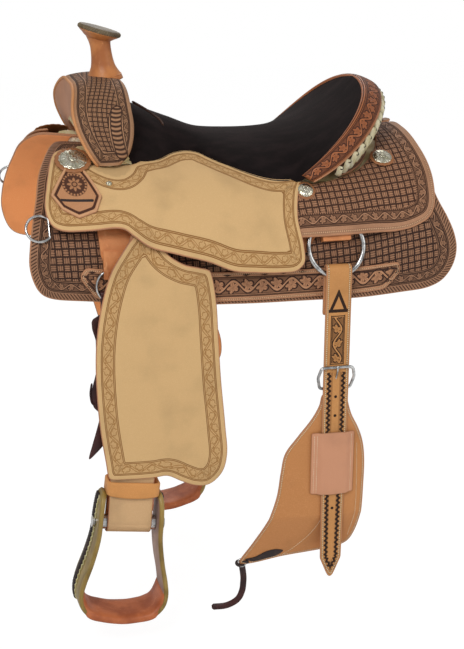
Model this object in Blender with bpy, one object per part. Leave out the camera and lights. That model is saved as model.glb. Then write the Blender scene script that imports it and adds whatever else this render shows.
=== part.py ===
"""Western roping saddle, built from the horse's back outwards.

Frame: metres, +Z up, -X is the front (horn), -Y is the near side.
The origin is the top of the horse's back under the middle of the seat.
Every leather layer of a side is laid on one side form: a point is given by
its x, its distance s down from the spine, and its height n above the horse.
"""
import math

import bmesh
import bpy
from mathutils import Matrix, Vector
from mathutils.bvhtree import BVHTree

for old in list(bpy.data.objects):
    bpy.data.objects.remove(old, do_unlink=True)

# Clearances
GAP = 0.0003
RUN = 0.0012

# Side form: a round back, then a tighter turn into the upright flank
BACK_R = 0.22
FLANK_R = 0.10
BACK_TURN = math.radians(60)
LIFT_X = (-0.45, -0.26, -0.12, 0.0, 0.18, 0.45)
LIFT_Z = (0.043, 0.020, 0.004, 0.0, 0.0, 0.0245)

# Layer thicknesses
FLEECE_T = 0.0100
SKIRT_T = 0.0042
PLATE_T = 0.0035
BAR_T = 0.0077
LEATHER_T = 0.0040
SEAT_T = 0.0090
SEAT_EDGE_T = 0.0032
GROUND_T = 0.0040

# Skirt and jockey outlines
SKIRT_FRONT = -0.374
SKIRT_REAR = 0.356
SKIRT_DROP = 0.342
SPINE_GAP = 0.036
FLEECE_INSET = 0.005

# Tree
BAR_TOP = 0.048
BAR_LOW = 0.160
BAR_FRONT = -0.285
BAR_REAR = 0.262
FORK_TOP = 0.132
FORK_WALL = 0.0035
GULLET_TOP = 0.062
HORN_X = -0.209
HORN_NECK_R = 0.0165
HORN_BASE_R = 0.0275
HORN_CAP_R = 0.0375
HORN_CAP_T = 0.0100
HORN_CAP_Z = 0.2125
HORN_LEAN = math.radians(-6)
HORN_CAP_TILT = math.radians(16)
HORN_CORE_R = 0.0085

# Cantle rim: front ends, rear, half width, end height, top height
RIM_IN = (0.0014, 0.236, 0.173, -0.0536, 0.124, 0.36, 0.553)
RIM_OUT = (0.0468, 0.273, 0.1834, -0.0351, 0.108, 0.4975, 0.880)
BINDING_T = 0.0130
CANTLE_T = 0.0120

# Hanging leathers: the pivot of stirrup leather and fender
HANG_X = -0.185
HANG_Z = -0.050
LEATHER_N = 0.0284
LEATHER_HALF_W = 0.038
FENDER_N = LEATHER_N + LEATHER_T + RUN
FENDER_T = 0.0042
NECK_ANGLE = math.radians(24)
OFF_SWING = math.radians(14)
BOLT_X = -0.2215
BOLT_Z = -0.5890
BOLT_R = 0.0060
ROLLER_R = 0.0130
STRAP_TILT = math.radians(7)
STIRRUP_WALL = 0.0100
TREAD_T = 0.0130
TREAD_FROM = 7

# Rigging
RING_X = 0.139
RING_RISE = 0.033
RING_R = 0.0475
RING_WIRE = 0.0040
RING_TOP = 0.027
RING_TILT = math.radians(16)
RING_N = 0.0156
BILLET_W = 0.0450
BILLET_T = 0.0036
BILLET_LEAN = math.radians(0.7)
BUCKLE_WIRE = 0.0026
FRONT_RING_X = -0.238
FRONT_RING_RISE = -0.008
FRONT_RING_R = 0.028
FRONT_RING_WIRE = 0.0020
FRONT_RING_N = 0.0231
FRONT_RING_TOP = 0.022
FRONT_RIG_T = 0.0060
LATIGO_HALF_W = 0.0110
LATIGO_T = 0.0022
DEE_AT = (-0.352, 0.232)
DEE_R = 0.0215
DEE_WIRE = 0.0022
CONCHOS = {"front": (-0.286, 0.122, 0.0240), "waist": (0.096, 0.171, 0.0135), "rear": (0.246, 0.119, 0.0170)}
CONCHO_T = 0.0040

SIDES = (("near", -1.0), ("off", 1.0))

# Row knots of the side form, where it bends
ARC_ROWS = [BACK_R * BACK_TURN * k / 7 for k in range(8)]
TURN_ROWS = [ARC_ROWS[-1] + FLANK_R * math.radians(10) * k for k in (1, 2, 3)]
S_ROWS = ARC_ROWS + TURN_ROWS
S_FLANK = S_ROWS[-1]


def material(name, colour, rough, metal=0.0):
    mat = bpy.data.materials.new(name)
    mat.use_nodes = True
    shader = mat.node_tree.nodes["Principled BSDF"]
    shader.inputs["Base Color"].default_value = (*colour, 1.0)
    shader.inputs["Roughness"].default_value = rough
    shader.inputs["Metallic"].default_value = metal
    return mat


ROUGHOUT = material("roughout_leather", (0.60, 0.38, 0.17), 0.85)
TOOLED = material("tooled_leather", (0.26, 0.13, 0.065), 0.55)
BRIDLE = material("strap_leather", (0.42, 0.21, 0.075), 0.55)
SUEDE = material("black_suede", (0.012, 0.009, 0.009), 0.95)
FLEECE = material("fleece", (0.80, 0.74, 0.62), 1.0)
RAWHIDE = material("rawhide_tree", (0.68, 0.58, 0.40), 0.6)
STEEL = material("steel", (0.62, 0.62, 0.60), 0.25, 1.0)
SILVER = material("silver", (0.80, 0.78, 0.72), 0.22, 1.0)
LATIGO = material("latigo_leather", (0.07, 0.018, 0.018), 0.6)
TREAD_LEATHER = material("tread_leather", (0.45, 0.15, 0.05), 0.5)


def row_point(s):
    """Point and normal angle of the side form at distance s from the spine."""
    arc_end = BACK_R * BACK_TURN
    if s <= arc_end:
        a = s / BACK_R
        return BACK_R * math.sin(a), -BACK_R + BACK_R * math.cos(a), a
    step = BACK_R - FLANK_R
    cy = step * math.sin(BACK_TURN)
    cz = -BACK_R + step * math.cos(BACK_TURN)
    a = min(BACK_TURN + (s - arc_end) / FLANK_R, math.pi / 2)
    return cy + FLANK_R * math.sin(a), cz + FLANK_R * math.cos(a), a


ROW_POINTS = [row_point(s) for s in S_ROWS]
FLANK_TOP_Z = ROW_POINTS[-1][1]
RING_Z = FLANK_TOP_Z + RING_RISE
FRONT_RING_Z = FLANK_TOP_Z + FRONT_RING_RISE


def interpolate(value, keys, values):
    if value <= keys[0]:
        return values[0]
    for k in range(1, len(keys)):
        if value <= keys[k]:
            f = (value - keys[k - 1]) / (keys[k] - keys[k - 1])
            return values[k - 1] + f * (values[k] - values[k - 1])
    return values[-1]


def lift(x):
    return interpolate(x, LIFT_X, LIFT_Z)


def form_section(s, n):
    """(y, z) of the form at height n, straight between its rows."""
    ys = [p[0] + n * math.sin(p[2]) for p in ROW_POINTS]
    zs = [p[1] + n * math.cos(p[2]) for p in ROW_POINTS]
    if s >= S_FLANK:
        return ys[-1], zs[-1] - (s - S_FLANK)
    return interpolate(s, S_ROWS, ys), interpolate(s, S_ROWS, zs)


def side_point(x, s, n, side):
    y, z = form_section(abs(s), n)
    sign = side if s >= 0 else -side
    return Vector((x, sign * y, z + lift(x)))


def section_y(z, n):
    """Half width of the form at height n, where it passes level z."""
    ys = [p[0] + n * math.sin(p[2]) for p in reversed(ROW_POINTS)]
    zs = [p[1] + n * math.cos(p[2]) for p in reversed(ROW_POINTS)]
    return interpolate(z, zs, ys)


def hang_point(x, z, n, side):
    """Hanging leather: a surface turned about the Y line of its pivot."""
    r = math.hypot(x - HANG_X, z - (HANG_Z + lift(HANG_X)))
    return Vector((x, side * section_y(HANG_Z - r, n), z))


def rounded(corners, steps=4):
    """Closed outline from (u, v, radius) corners."""
    points = []
    count = len(corners)
    for i, (u, v, r) in enumerate(corners):
        here = Vector((u, v))
        if r <= 0:
            points.append((u, v))
            continue
        back = Vector(corners[i - 1][:2]) - here
        ahead = Vector(corners[(i + 1) % count][:2]) - here
        half = back.angle(ahead) / 2
        reach = min(r / math.tan(half), 0.48 * back.length, 0.48 * ahead.length)
        start = here + back.normalized() * reach
        end = here + ahead.normalized() * reach
        for k in range(steps + 1):
            t = k / steps
            p = start * (1 - t) ** 2 + here * 2 * t * (1 - t) + end * t ** 2
            points.append((p.x, p.y))
    return points


def inset(outline, d):
    """The outline moved inward by d (negative moves it outward)."""
    area = sum(a[0] * b[1] - b[0] * a[1] for a, b in zip(outline, outline[1:] + outline[:1]))
    turn = 1.0 if area > 0 else -1.0
    moved = []
    for i, p in enumerate(outline):
        a = Vector(p) - Vector(outline[i - 1])
        b = Vector(outline[(i + 1) % len(outline)]) - Vector(p)
        t = (a.normalized() + b.normalized()).normalized()
        normal = Vector((-t.y, t.x)) * turn
        stretch = max(normal.dot(Vector((-a.y, a.x)).normalized() * turn), 0.4)
        moved.append(tuple(Vector(p) + normal * (d / stretch)))
    return moved


def new_object(name, bm, mat, smooth=True):
    bmesh.ops.remove_doubles(bm, verts=bm.verts, dist=1e-7)
    bmesh.ops.recalc_face_normals(bm, faces=bm.faces)
    mesh = bpy.data.meshes.new(name)
    bm.to_mesh(mesh)
    bm.free()
    mesh.materials.append(mat)
    if smooth:
        mesh.shade_smooth()
        mesh.set_sharp_from_angle(angle=math.radians(35))
    obj = bpy.data.objects.new(name, mesh)
    bpy.context.scene.collection.objects.link(obj)
    return obj


def sheet(name, outline, low, high, mat, cuts_u=(), cuts_v=()):
    """Solid sheet between the surfaces low(u, v) and high(u, v)."""
    flat = bmesh.new()
    flat.faces.new([flat.verts.new((u, v, 0)) for u, v in outline])
    for value, normal in [(c, (1, 0, 0)) for c in cuts_u] + [(c, (0, 1, 0)) for c in cuts_v]:
        geom = flat.verts[:] + flat.edges[:] + flat.faces[:]
        spot = Vector(normal) * value
        bmesh.ops.bisect_plane(flat, geom=geom, dist=1e-6, plane_co=spot, plane_no=normal)
    bmesh.ops.triangulate(flat, faces=flat.faces)
    bmesh.ops.dissolve_degenerate(flat, dist=2e-5, edges=flat.edges)
    bm = bmesh.new()
    lows = {v: bm.verts.new(low(v.co.x, v.co.y)) for v in flat.verts}
    highs = {v: bm.verts.new(high(v.co.x, v.co.y)) for v in flat.verts}
    for face in flat.faces:
        bm.faces.new([lows[v] for v in reversed(face.verts)])
        bm.faces.new([highs[v] for v in face.verts])
    for edge in flat.edges:
        if len(edge.link_faces) == 1:
            a, b = edge.verts
            bm.faces.new([lows[a], lows[b], highs[b], highs[a]])
    flat.free()
    return new_object(name, bm, mat)


JOCKEY_ZONE_X = (-0.300, -0.235, -0.030, 0.050)
LAID_COLUMNS = LIFT_X[1:-1] + JOCKEY_ZONE_X + (0.205, 0.262)


def laid(name, outline, low, high, side, mat, columns=LIFT_X[1:-1]):
    """Sheet laid on the side form between heights low and high (numbers or functions)."""
    low_n = low if callable(low) else (lambda x, s: low)
    high_n = high if callable(high) else (lambda x, s: high)
    return sheet(
        name, outline,
        lambda x, s: side_point(x, s, low_n(x, s), side),
        lambda x, s: side_point(x, s, high_n(x, s), side),
        mat, columns, S_ROWS[1:])


def loft(name, rings, mat, closed_path=False):
    """Solid through equal rings of points, capped at its ends."""
    bm = bmesh.new()
    rows = [[bm.verts.new(p) for p in ring] for ring in rings]
    spans = len(rows) if closed_path else len(rows) - 1
    size = len(rows[0])
    for i in range(spans):
        a, b = rows[i], rows[(i + 1) % len(rows)]
        for k in range(size):
            m = (k + 1) % size
            bm.faces.new([a[k], a[m], b[m], b[k]])
    if not closed_path:
        bm.faces.new(rows[0])
        bm.faces.new(rows[-1])
        bmesh.ops.triangulate(bm, faces=[f for f in bm.faces if len(f.verts) > 4])
    return new_object(name, bm, mat)


def wire(name, path, radius, mat, closed=True, sides=8, flat=1.0):
    """Round bar along a path of points."""
    rings = []
    count = len(path)
    for i, p in enumerate(path):
        if closed:
            ahead = path[(i + 1) % count] - path[i - 1]
        else:
            ahead = path[min(i + 1, count - 1)] - path[max(i - 1, 0)]
        t = ahead.normalized()
        out = Vector((0, 1, 0)) - t * t.y
        out.normalize()
        across = t.cross(out)
        rings.append([
            p + out * (radius * flat * math.cos(a)) + across * (radius * math.sin(a))
            for a in (2 * math.pi * k / sides for k in range(sides))])
    return loft(name, rings, mat, closed_path=closed)


def turned(name, profile, centre, turn, mat, segments=24):
    """Solid of revolution: profile of (radius, height), axis +Z turned by a matrix."""
    rings = []
    for r, h in profile:
        rings.append([
            centre + turn @ Vector((r * math.cos(a), r * math.sin(a), h))
            for a in (2 * math.pi * k / segments for k in range(segments))])
    return loft(name, rings, mat)


def drop_offcuts(obj):
    """Keep only the largest connected part of a trimmed body."""
    bm = bmesh.new()
    bm.from_mesh(obj.data)
    left = set(bm.verts)
    parts = []
    while left:
        stack = [left.pop()]
        part = []
        while stack:
            vert = stack.pop()
            part.append(vert)
            for edge in vert.link_edges:
                beside = edge.other_vert(vert)
                if beside in left:
                    left.remove(beside)
                    stack.append(beside)
        parts.append(part)
    parts.sort(key=len)
    for part in parts[:-1]:
        bmesh.ops.delete(bm, geom=part, context="VERTS")
    bm.to_mesh(obj.data)
    bm.free()


def combine(target, other, operation):
    """Apply one Boolean and remove the tool."""
    mod = target.modifiers.new(operation.lower(), "BOOLEAN")
    mod.operation = operation
    mod.object = other
    mod.solver = "MANIFOLD"
    graph = bpy.context.evaluated_depsgraph_get()
    mesh = bpy.data.meshes.new_from_object(target.evaluated_get(graph))
    target.modifiers.clear()
    target.data = mesh
    bpy.data.objects.remove(other, do_unlink=True)
    if operation == "DIFFERENCE":
        drop_offcuts(target)


# Heights of the layers above the horse
SKIRT_LO = FLEECE_T + GAP
SKIRT_HI = SKIRT_LO + SKIRT_T
RIG_LO = SKIRT_HI + GAP
RIG_HI = RIG_LO + PLATE_T
BAR_LO = RIG_LO
BAR_HI = BAR_LO + BAR_T
JOCKEY_BASE = BAR_HI + 2 * GAP


def jockey_low(x, s):
    """Underside of the seat jockey: over the bar, then out over the leathers."""
    base = interpolate(s, S_ROWS[3:7], (JOCKEY_BASE, 0.0275, 0.0320, 0.0358))
    zone = interpolate(x, JOCKEY_ZONE_X, (0.0, 1.0, 1.0, 0.0))
    spread = interpolate(s, (S_ROWS[3], S_ROWS[5]), (0.0, 1.0))
    return base + 0.0105 * zone * spread


def jockey_high(x, s):
    return jockey_low(x, s) + LEATHER_T


def back_low(x, s):
    """Underside of the back jockey: over the bar end and the rear ring."""
    near_ring = interpolate(s, (S_ROWS[4], S_ROWS[5], S_ROWS[6]), (JOCKEY_BASE, 0.0275, 0.0318))
    plain = interpolate(s, (S_ROWS[5], S_ROWS[7]), (JOCKEY_BASE, RIG_LO))
    f = interpolate(x, (0.205, 0.262), (1.0, 0.0))
    return near_ring * f + plain * (1 - f)


def back_high(x, s):
    return back_low(x, s) + LEATHER_T


SKIRT_OUTLINE = rounded([
    (-0.296, SPINE_GAP, 0.010), (-0.326, 0.080, 0.060), (-0.352, 0.180, 0.150),
    (SKIRT_FRONT, 0.262, 0.060), (SKIRT_FRONT + 0.006, SKIRT_DROP - 0.006, 0.038),
    (-0.260, SKIRT_DROP - 0.002, 0.0), (0.120, SKIRT_DROP, 0.0),
    (SKIRT_REAR - 0.010, SKIRT_DROP + 0.006, 0.052), (SKIRT_REAR, 0.285, 0.050),
    (0.326, 0.190, 0.120), (0.312, 0.100, 0.080), (0.300, SPINE_GAP, 0.010)], 3)
FLEECE_OUTLINE = inset(SKIRT_OUTLINE, FLEECE_INSET)
BAR_OUTLINE = rounded([
    (BAR_FRONT, BAR_TOP + 0.016, 0.030), (BAR_FRONT + 0.015, BAR_LOW - 0.018, 0.030),
    (HANG_X - 0.050, BAR_LOW - 0.004, 0.0), (HANG_X - 0.024, BAR_LOW + 0.028, 0.010),
    (HANG_X + 0.024, BAR_LOW + 0.028, 0.010), (HANG_X + 0.050, BAR_LOW - 0.004, 0.0),
    (0.0, BAR_LOW - 0.022, 0.150), (BAR_REAR - 0.060, BAR_LOW - 0.006, 0.060),
    (BAR_REAR, BAR_LOW - 0.030, 0.040), (BAR_REAR - 0.008, BAR_TOP + 0.008, 0.030),
    (0.05, BAR_TOP, 0.150)], 3)
JOCKEY_OUTLINE = rounded([
    (-0.288, 0.118, 0.0), (-0.300, 0.088, 0.012), (-0.322, 0.115, 0.030), (-0.338, 0.175, 0.080),
    (-0.348, 0.232, 0.022), (-0.300, 0.237, 0.040), (-0.221, 0.230, 0.020),
    (-0.180, 0.252, 0.040), (-0.120, 0.260, 0.080), (-0.050, 0.276, 0.060),
    (0.020, 0.282, 0.080), (0.084, 0.282, 0.022), (0.074, 0.215, 0.060),
    (0.082, 0.168, 0.020), (0.100, 0.140, 0.008), (0.060, 0.128, 0.040),
    (0.010, 0.118, 0.040), (-0.045, 0.078, 0.030), (-0.088, 0.052, 0.030),
    (-0.125, 0.070, 0.030), (-0.160, 0.094, 0.020), (-0.190, 0.118, 0.0)], 3)
BACK_OUTLINE = rounded([
    (0.064, 0.156, 0.0), (0.060, 0.242, 0.0), (0.240, 0.245, 0.060), (0.318, 0.242, 0.045),
    (0.326, 0.180, 0.080), (0.318, 0.090, 0.060), (0.302, 0.006, 0.012),
    (0.262, 0.006, 0.0), (0.235, 0.100, 0.050), (0.180, 0.142, 0.050), (0.108, 0.160, 0.020)], 3)
PLATE_OUTLINE = rounded([
    (-0.250, 0.284, 0.0), (-0.282, 0.282, 0.016), (-0.292, 0.300, 0.016), (-0.262, 0.334, 0.016),
    (0.0, 0.334, 0.0), (0.222, 0.334, 0.024), (0.254, 0.306, 0.010), (0.248, 0.291, 0.006),
    (0.0, 0.284, 0.0)], 3)
FRONT_RIG_OUTLINE = rounded([
    (-0.262, 0.196, 0.0), (-0.256, 0.272, 0.010), (-0.222, 0.278, 0.012), (-0.196, 0.268, 0.010),
    (-0.190, 0.196, 0.0)], 2)
REAR_RIG_OUTLINE = rounded([
    (RING_X - 0.060, 0.172, 0.0), (RING_X - 0.064, 0.262, 0.010), (RING_X - 0.052, 0.262, 0.006),
    (RING_X - 0.030, 0.236, 0.006), (RING_X + 0.030, 0.236, 0.006), (RING_X + 0.036, 0.172, 0.0)], 2)


REAR_RIG_T = 0.0026
REAR_FOLD_N = 0.0308
REAR_FOLD_S = (S_FLANK - 0.069, S_FLANK - 0.035)
REAR_FOLD_OUTLINE = [(RING_X - 0.024, REAR_FOLD_S[0]), (RING_X - 0.024, REAR_FOLD_S[1]),
                     (RING_X + 0.024, REAR_FOLD_S[1]), (RING_X + 0.024, REAR_FOLD_S[0])]
FRONT_FOLD_N = 0.0274
FRONT_FOLD_S = (S_FLANK - 0.025, S_FLANK + 0.015)
FRONT_FOLD_OUTLINE = [(FRONT_RING_X - 0.016, FRONT_FOLD_S[0]), (FRONT_RING_X - 0.016, FRONT_FOLD_S[1]),
                      (FRONT_RING_X + 0.016, FRONT_FOLD_S[1]), (FRONT_RING_X + 0.016, FRONT_FOLD_S[0])]


def side_layers(tag, side):
    laid("fleece_" + tag, FLEECE_OUTLINE, 0.0, FLEECE_T, side, FLEECE)
    laid("skirt_" + tag, SKIRT_OUTLINE, SKIRT_LO, SKIRT_HI, side, TOOLED)
    laid("skirt_plate_" + tag, PLATE_OUTLINE, RIG_LO, RIG_HI, side, TOOLED)
    front_rigging(tag, side)
    tree_bar(tag, side)
    laid("seat_jockey_" + tag, JOCKEY_OUTLINE, jockey_low, jockey_high, side, ROUGHOUT,
         LAID_COLUMNS)
    laid("back_jockey_" + tag, BACK_OUTLINE, back_low, back_high, side, TOOLED, LAID_COLUMNS)


# Fork: an arch drawn in the Y-Z plane and carried along X
FORK_OUTER = ((0.0, 0.0), (0.045, -0.001), (0.080, -0.011), (0.108, -0.032), (0.126, -0.058),
              (0.136, -0.084), (0.142, -0.106), (0.144, -0.120))
FORK_FRONT_Z = (0.006, 0.026, 0.048, 0.074, 0.100, 0.132)
FORK_FRONT_X = (-0.238, -0.252, -0.264, -0.274, -0.277, -0.268)
FORK_REAR_X = (-0.218, -0.198, -0.189, -0.185, -0.186, -0.186)
FORK_STATIONS = ((0.0, -0.010), (0.10, -0.0025), (0.5, 0.003), (0.90, -0.0025), (1.0, -0.010))


def foot_height(y, x):
    """Level of the bar's top, or of the jockey's, at half width y."""
    for k in range(200):
        s = 0.03 + 0.0008 * k
        n = BAR_HI + GAP if s < 0.104 else jockey_high(x, s) + GAP
        py, pz = form_section(s, n)
        if py >= y:
            return pz + lift(x)
    return 0.0


def fork_ring(t, swell, grow, shell):
    """One station of the arch: outer line, feet and gullet line."""
    half = []
    for y, drop in FORK_OUTER:
        outward = Vector((y, drop + 0.060)).normalized()
        z = FORK_TOP + drop
        half.append((y + outward.x * (swell + grow) * (y > 0), z + outward.y * (swell + grow)))
    inner_y = (0.070, 0.066, 0.054, 0.036, 0.0)
    inner_z = (0.026, 0.038, 0.050, 0.058, GULLET_TOP)
    feet = [0.128, 0.112, 0.096, 0.080]
    points = []
    for y, z in half:
        xf = interpolate(z, FORK_FRONT_Z, FORK_FRONT_X) - grow
        xr = interpolate(z, FORK_FRONT_Z, FORK_REAR_X) + grow
        points.append((xf + t * (xr - xf), y, z))
    for y in feet:
        x = -0.255 - grow + t * (0.068 + 2 * grow)
        points.append((x, y, foot_height(y, x) - (0.004 if shell else 0.0)))
    drop = 0.004 if shell else 0.0
    for y, z in zip(inner_y, inner_z):
        xf = interpolate(z, FORK_FRONT_Z, FORK_FRONT_X) - grow
        xr = interpolate(z, FORK_FRONT_Z, FORK_REAR_X) + grow
        points.append((xf + t * (xr - xf), y, z - drop))
    off = [(x, -y, z) for x, y, z in reversed(points[1:-1])]
    return [Vector(p) for p in points + off]


def fork_body(name, grow, shell, mat):
    bm = bmesh.new()
    rows = [[bm.verts.new(p) for p in fork_ring(t, swell, grow, shell)] for t, swell in FORK_STATIONS]
    size = len(rows[0])
    for a, b in zip(rows, rows[1:]):
        for k in range(size):
            m = (k + 1) % size
            bm.faces.new([a[k], a[m], b[m], b[k]])
    middle = size // 2
    outer = len(FORK_OUTER)
    for row in (rows[0], rows[-1]):
        for k in range(outer - 1):
            bm.faces.new([row[k], row[k + 1], row[middle - k - 1], row[middle - k]])
            bm.faces.new([row[-k], row[-k - 1], row[middle + k + 1], row[(middle + k)]])
        bm.faces.new([row[outer - 1], row[outer], row[outer + 1]])
        bm.faces.new([row[size - outer + 1], row[size - outer], row[size - outer - 1]])
    bmesh.ops.triangulate(bm, faces=bm.faces, quad_method="FIXED")
    return new_object(name, bm, mat)


def grown_bar(side):
    return laid("bar_room", inset(BAR_OUTLINE, -GAP), BAR_LO - GAP, BAR_HI + GAP, side, RAWHIDE)


def clear_of_side(obj, side):
    """Trim a body where it meets the bar and the seat jockey."""
    combine(obj, grown_bar(side), "DIFFERENCE")
    combine(obj, grown_jockey(side), "DIFFERENCE")


def horn_turn(angle):
    return Matrix.Rotation(angle, 3, "Y")


def horn_neck(name, grow, low, mat):
    """Neck cover: wide at the fork, waisted, flared under the cap."""
    base = Vector((HORN_X, 0, FORK_TOP))
    height = HORN_CAP_Z - FORK_TOP
    profile = [
        (HORN_BASE_R + grow, low), (HORN_BASE_R - 0.0005 + grow, 0.009),
        (HORN_NECK_R + 0.005 + grow, 0.022), (HORN_NECK_R + 0.001 + grow, 0.040),
        (HORN_NECK_R + grow, height - 0.024), (HORN_NECK_R + 0.0015 + grow, height - 0.004)]
    return turned(name, profile, base, horn_turn(HORN_LEAN), mat, 20)


def horn_cap(name, grow):
    lean = horn_turn(HORN_LEAN)
    cap_at = Vector((HORN_X, 0, FORK_TOP)) + lean @ Vector((0, 0, HORN_CAP_Z - FORK_TOP - 0.0025))
    r = HORN_CAP_R + grow
    profile = [(0.018, -0.0065 - grow), (r * 0.80, -0.0035 - grow), (r * 0.98, -grow), (r, 0.003),
               (r * 0.985, HORN_CAP_T - 0.0035), (r * 0.93, HORN_CAP_T - 0.001), (r * 0.88, HORN_CAP_T)]
    return turned(name, profile, cap_at, horn_turn(HORN_CAP_TILT), BRIDLE, 32)


def fork_and_horn():
    core = fork_body("tree_fork", 0.0, False, RAWHIDE)
    cover = fork_body("fork_cover", FORK_WALL, False, TOOLED)
    hollow = fork_body("fork_hollow", 3 * GAP, True, TOOLED)
    combine(cover, hollow, "DIFFERENCE")
    combine(cover, fork_body("room", 2 * GAP, False, TOOLED), "DIFFERENCE")
    for body in (core, cover):
        for _, side in SIDES:
            clear_of_side(body, side)
    lean = horn_turn(HORN_LEAN)
    base = Vector((HORN_X, 0, FORK_TOP))
    height = HORN_CAP_Z - FORK_TOP
    for body in (core, cover):
        bore = turned("bore", [(HORN_CORE_R + GAP, -0.046), (HORN_CORE_R + GAP, 0.03)], base, lean, RAWHIDE, 16)
        combine(body, bore, "DIFFERENCE")
    turned("horn_core", [(HORN_CORE_R, -0.045), (HORN_CORE_R, height - 0.017)], base, lean, STEEL, 16)
    wrap = horn_neck("horn_wrap", 0.0, -0.001, BRIDLE)
    combine(wrap, fork_body("room", FORK_WALL + GAP, False, TOOLED), "DIFFERENCE")
    bore = turned("bore", [(HORN_CORE_R + GAP, -0.01), (HORN_CORE_R + GAP, 0.10)], base, lean, BRIDLE, 16)
    combine(wrap, bore, "DIFFERENCE")
    combine(wrap, horn_cap("room", GAP), "DIFFERENCE")
    horn_cap("horn_cap", 0.0)


def rim(edge, phi):
    x0, xr, half, z0, zr, p, q = edge
    c = max(math.cos(phi), 0.0)
    return Vector((x0 + (xr - x0) * c ** p, half * math.sin(phi), z0 + (zr - z0) * c ** q))


RIM_STEPS = 20
RIM_END = math.radians(86)


def rim_angles(steps=RIM_STEPS):
    return [-RIM_END + 2 * RIM_END * k / steps for k in range(steps + 1)]


def rim_frame(phi):
    a, b = rim(RIM_IN, phi), rim(RIM_OUT, phi)
    step = 0.02
    along = (rim(RIM_IN, min(phi + step, 1.55)) - rim(RIM_IN, max(phi - step, -1.55))).normalized()
    up = along.cross(b - a).normalized()
    if up.z < 0:
        up = -up
    return a, b, up


def cantle_binding(name, grow):
    rings = []
    for phi in rim_angles():
        a, b, up = rim_frame(phi)
        mid, half = (a + b) / 2, (b - a) / 2
        ring = []
        for k in range(10):
            ang = 2 * math.pi * k / 10
            c, s = math.cos(ang), math.sin(ang)
            across = half + half.normalized() * grow
            rise = (BINDING_T / 2 + grow) * s - BINDING_T / 2
            ring.append(mid + across * math.copysign(abs(c) ** 0.7, c) + up * rise)
        rings.append(ring)
    for end, beside in ((0, 1), (-1, -2)):
        step = (rings[end][0] - rings[beside][0]).normalized() * (3 * grow)
        rings[end] = [p + step for p in rings[end]]
    return loft(name, rings, TOOLED)


def cantle_foot(phi, out):
    """Where the cantle stands on the bars and jockeys."""
    s = 0.146 * abs(math.sin(phi)) ** 0.9
    x0, xr = 0.105, 0.226
    x = x0 + (xr - x0) * max(math.cos(phi), 0.0) ** 0.55 + out
    return x, math.copysign(s, phi)


def tree_cantle():
    rings = []
    for phi in rim_angles(16):
        a, b, up = rim_frame(phi)
        mid = a + (b - a) * 0.45 - up * (BINDING_T + 0.0008)
        out = (b - a).normalized() * (CANTLE_T / 2)
        xf, s = cantle_foot(phi, 0.0)
        front = side_point(xf, s, BAR_HI + 2 * GAP + 0.0052, 1.0)
        rear = side_point(xf + CANTLE_T, s, BAR_HI + 2 * GAP + 0.0052, 1.0)
        top_in, top_out = mid - out, mid + out
        belly_in = front.lerp(top_in, 0.5)
        belly_out = rear.lerp(top_out, 0.5)
        rings.append([front, belly_in, top_in, top_out, belly_out, rear])
    return loft("tree_cantle", rings[1:-1], RAWHIDE)


# Seat: level along the middle, and the edge it reaches on each side
SEAT_X = (-0.178, -0.160, -0.129, -0.098, -0.052, -0.020, 0.020, 0.070, 0.110, 0.150, 0.185, 0.212, 0.229)
SEAT_MID_Z = (0.093, 0.086, 0.073, 0.061, 0.042, 0.036, 0.034, 0.036, 0.042, 0.055, 0.075, 0.097, 0.1155)
SEAT_EDGE_X = (-0.160, -0.140, -0.111, -0.087, -0.068, -0.051, -0.029, 0.008, 0.040, 0.070)
SEAT_EDGE_S = (0.106, 0.098, 0.077, 0.070, 0.075, 0.090, 0.112, 0.136, 0.147, 0.150)


def seat_edge(x):
    """Half width and level of the seat's edge at x."""
    if x < SEAT_EDGE_X[-1]:
        s = interpolate(x, SEAT_EDGE_X, SEAT_EDGE_S)
        p = side_point(x, s, jockey_high(x, s) + GAP + 0.0035, 1.0)
        return p.y, p.z
    x0, xr, half, z0, zr, p, q = RIM_IN
    start = SEAT_EDGE_X[-1]
    y1, z1 = seat_edge(start - 1e-6)
    c = min(max((x - x0) / (xr - x0), 0.0), 1.0) ** (1 / p)
    phi = math.acos(c)
    y, z = half * math.sin(phi) - 0.0075, z0 + (zr - z0) * c ** q
    f = interpolate(x, (start, start + 0.035), (0.0, 1.0))
    return y1 * (1 - f) + y * f, z1 * (1 - f) + (z - 0.001) * f


def seat_level(x, v):
    """Level of the seat's top; v runs from -1 to 1 across it."""
    y, ze = seat_edge(x)
    zc = interpolate(x, SEAT_X, SEAT_MID_Z)
    power = interpolate(x, (0.0, 0.12), (2.4, 2.0))
    return zc + (ze - zc) * abs(v) ** power


def seat_thickness(v):
    return SEAT_EDGE_T + (SEAT_T - SEAT_EDGE_T) * (1 - abs(v) ** 3)


def seat_solid(name, top_share, extra, shrink, x_front, x_rear, mat, rows=15, cols=14):
    """Slab under the seat's level: from a share of its thickness down by an extra."""
    rings = []
    for i in range(rows + 1):
        x = x_front + (x_rear - x_front) * i / rows
        y, _ = seat_edge(x)
        vs = [math.sin(math.pi / 2 * (2 * k / cols - 1)) for k in range(cols + 1)]
        top = [Vector((x, v * y * shrink, seat_level(x, v * shrink) - top_share * (seat_thickness(v * shrink) + 0.0023)))
               for v in vs]
        low = [Vector((x, v * y * shrink, seat_level(x, v * shrink) - seat_thickness(v * shrink) - extra))
               for v in reversed(vs)]
        rings.append(top + low)
    return loft(name, rings, mat)


def grown_jockey(side):
    shape = inset(JOCKEY_OUTLINE, -2 * GAP)
    return laid("jockey_room", shape, lambda x, s: jockey_low(x, s) - GAP,
                lambda x, s: jockey_high(x, s) + GAP, side, ROUGHOUT, LAID_COLUMNS)


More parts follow.
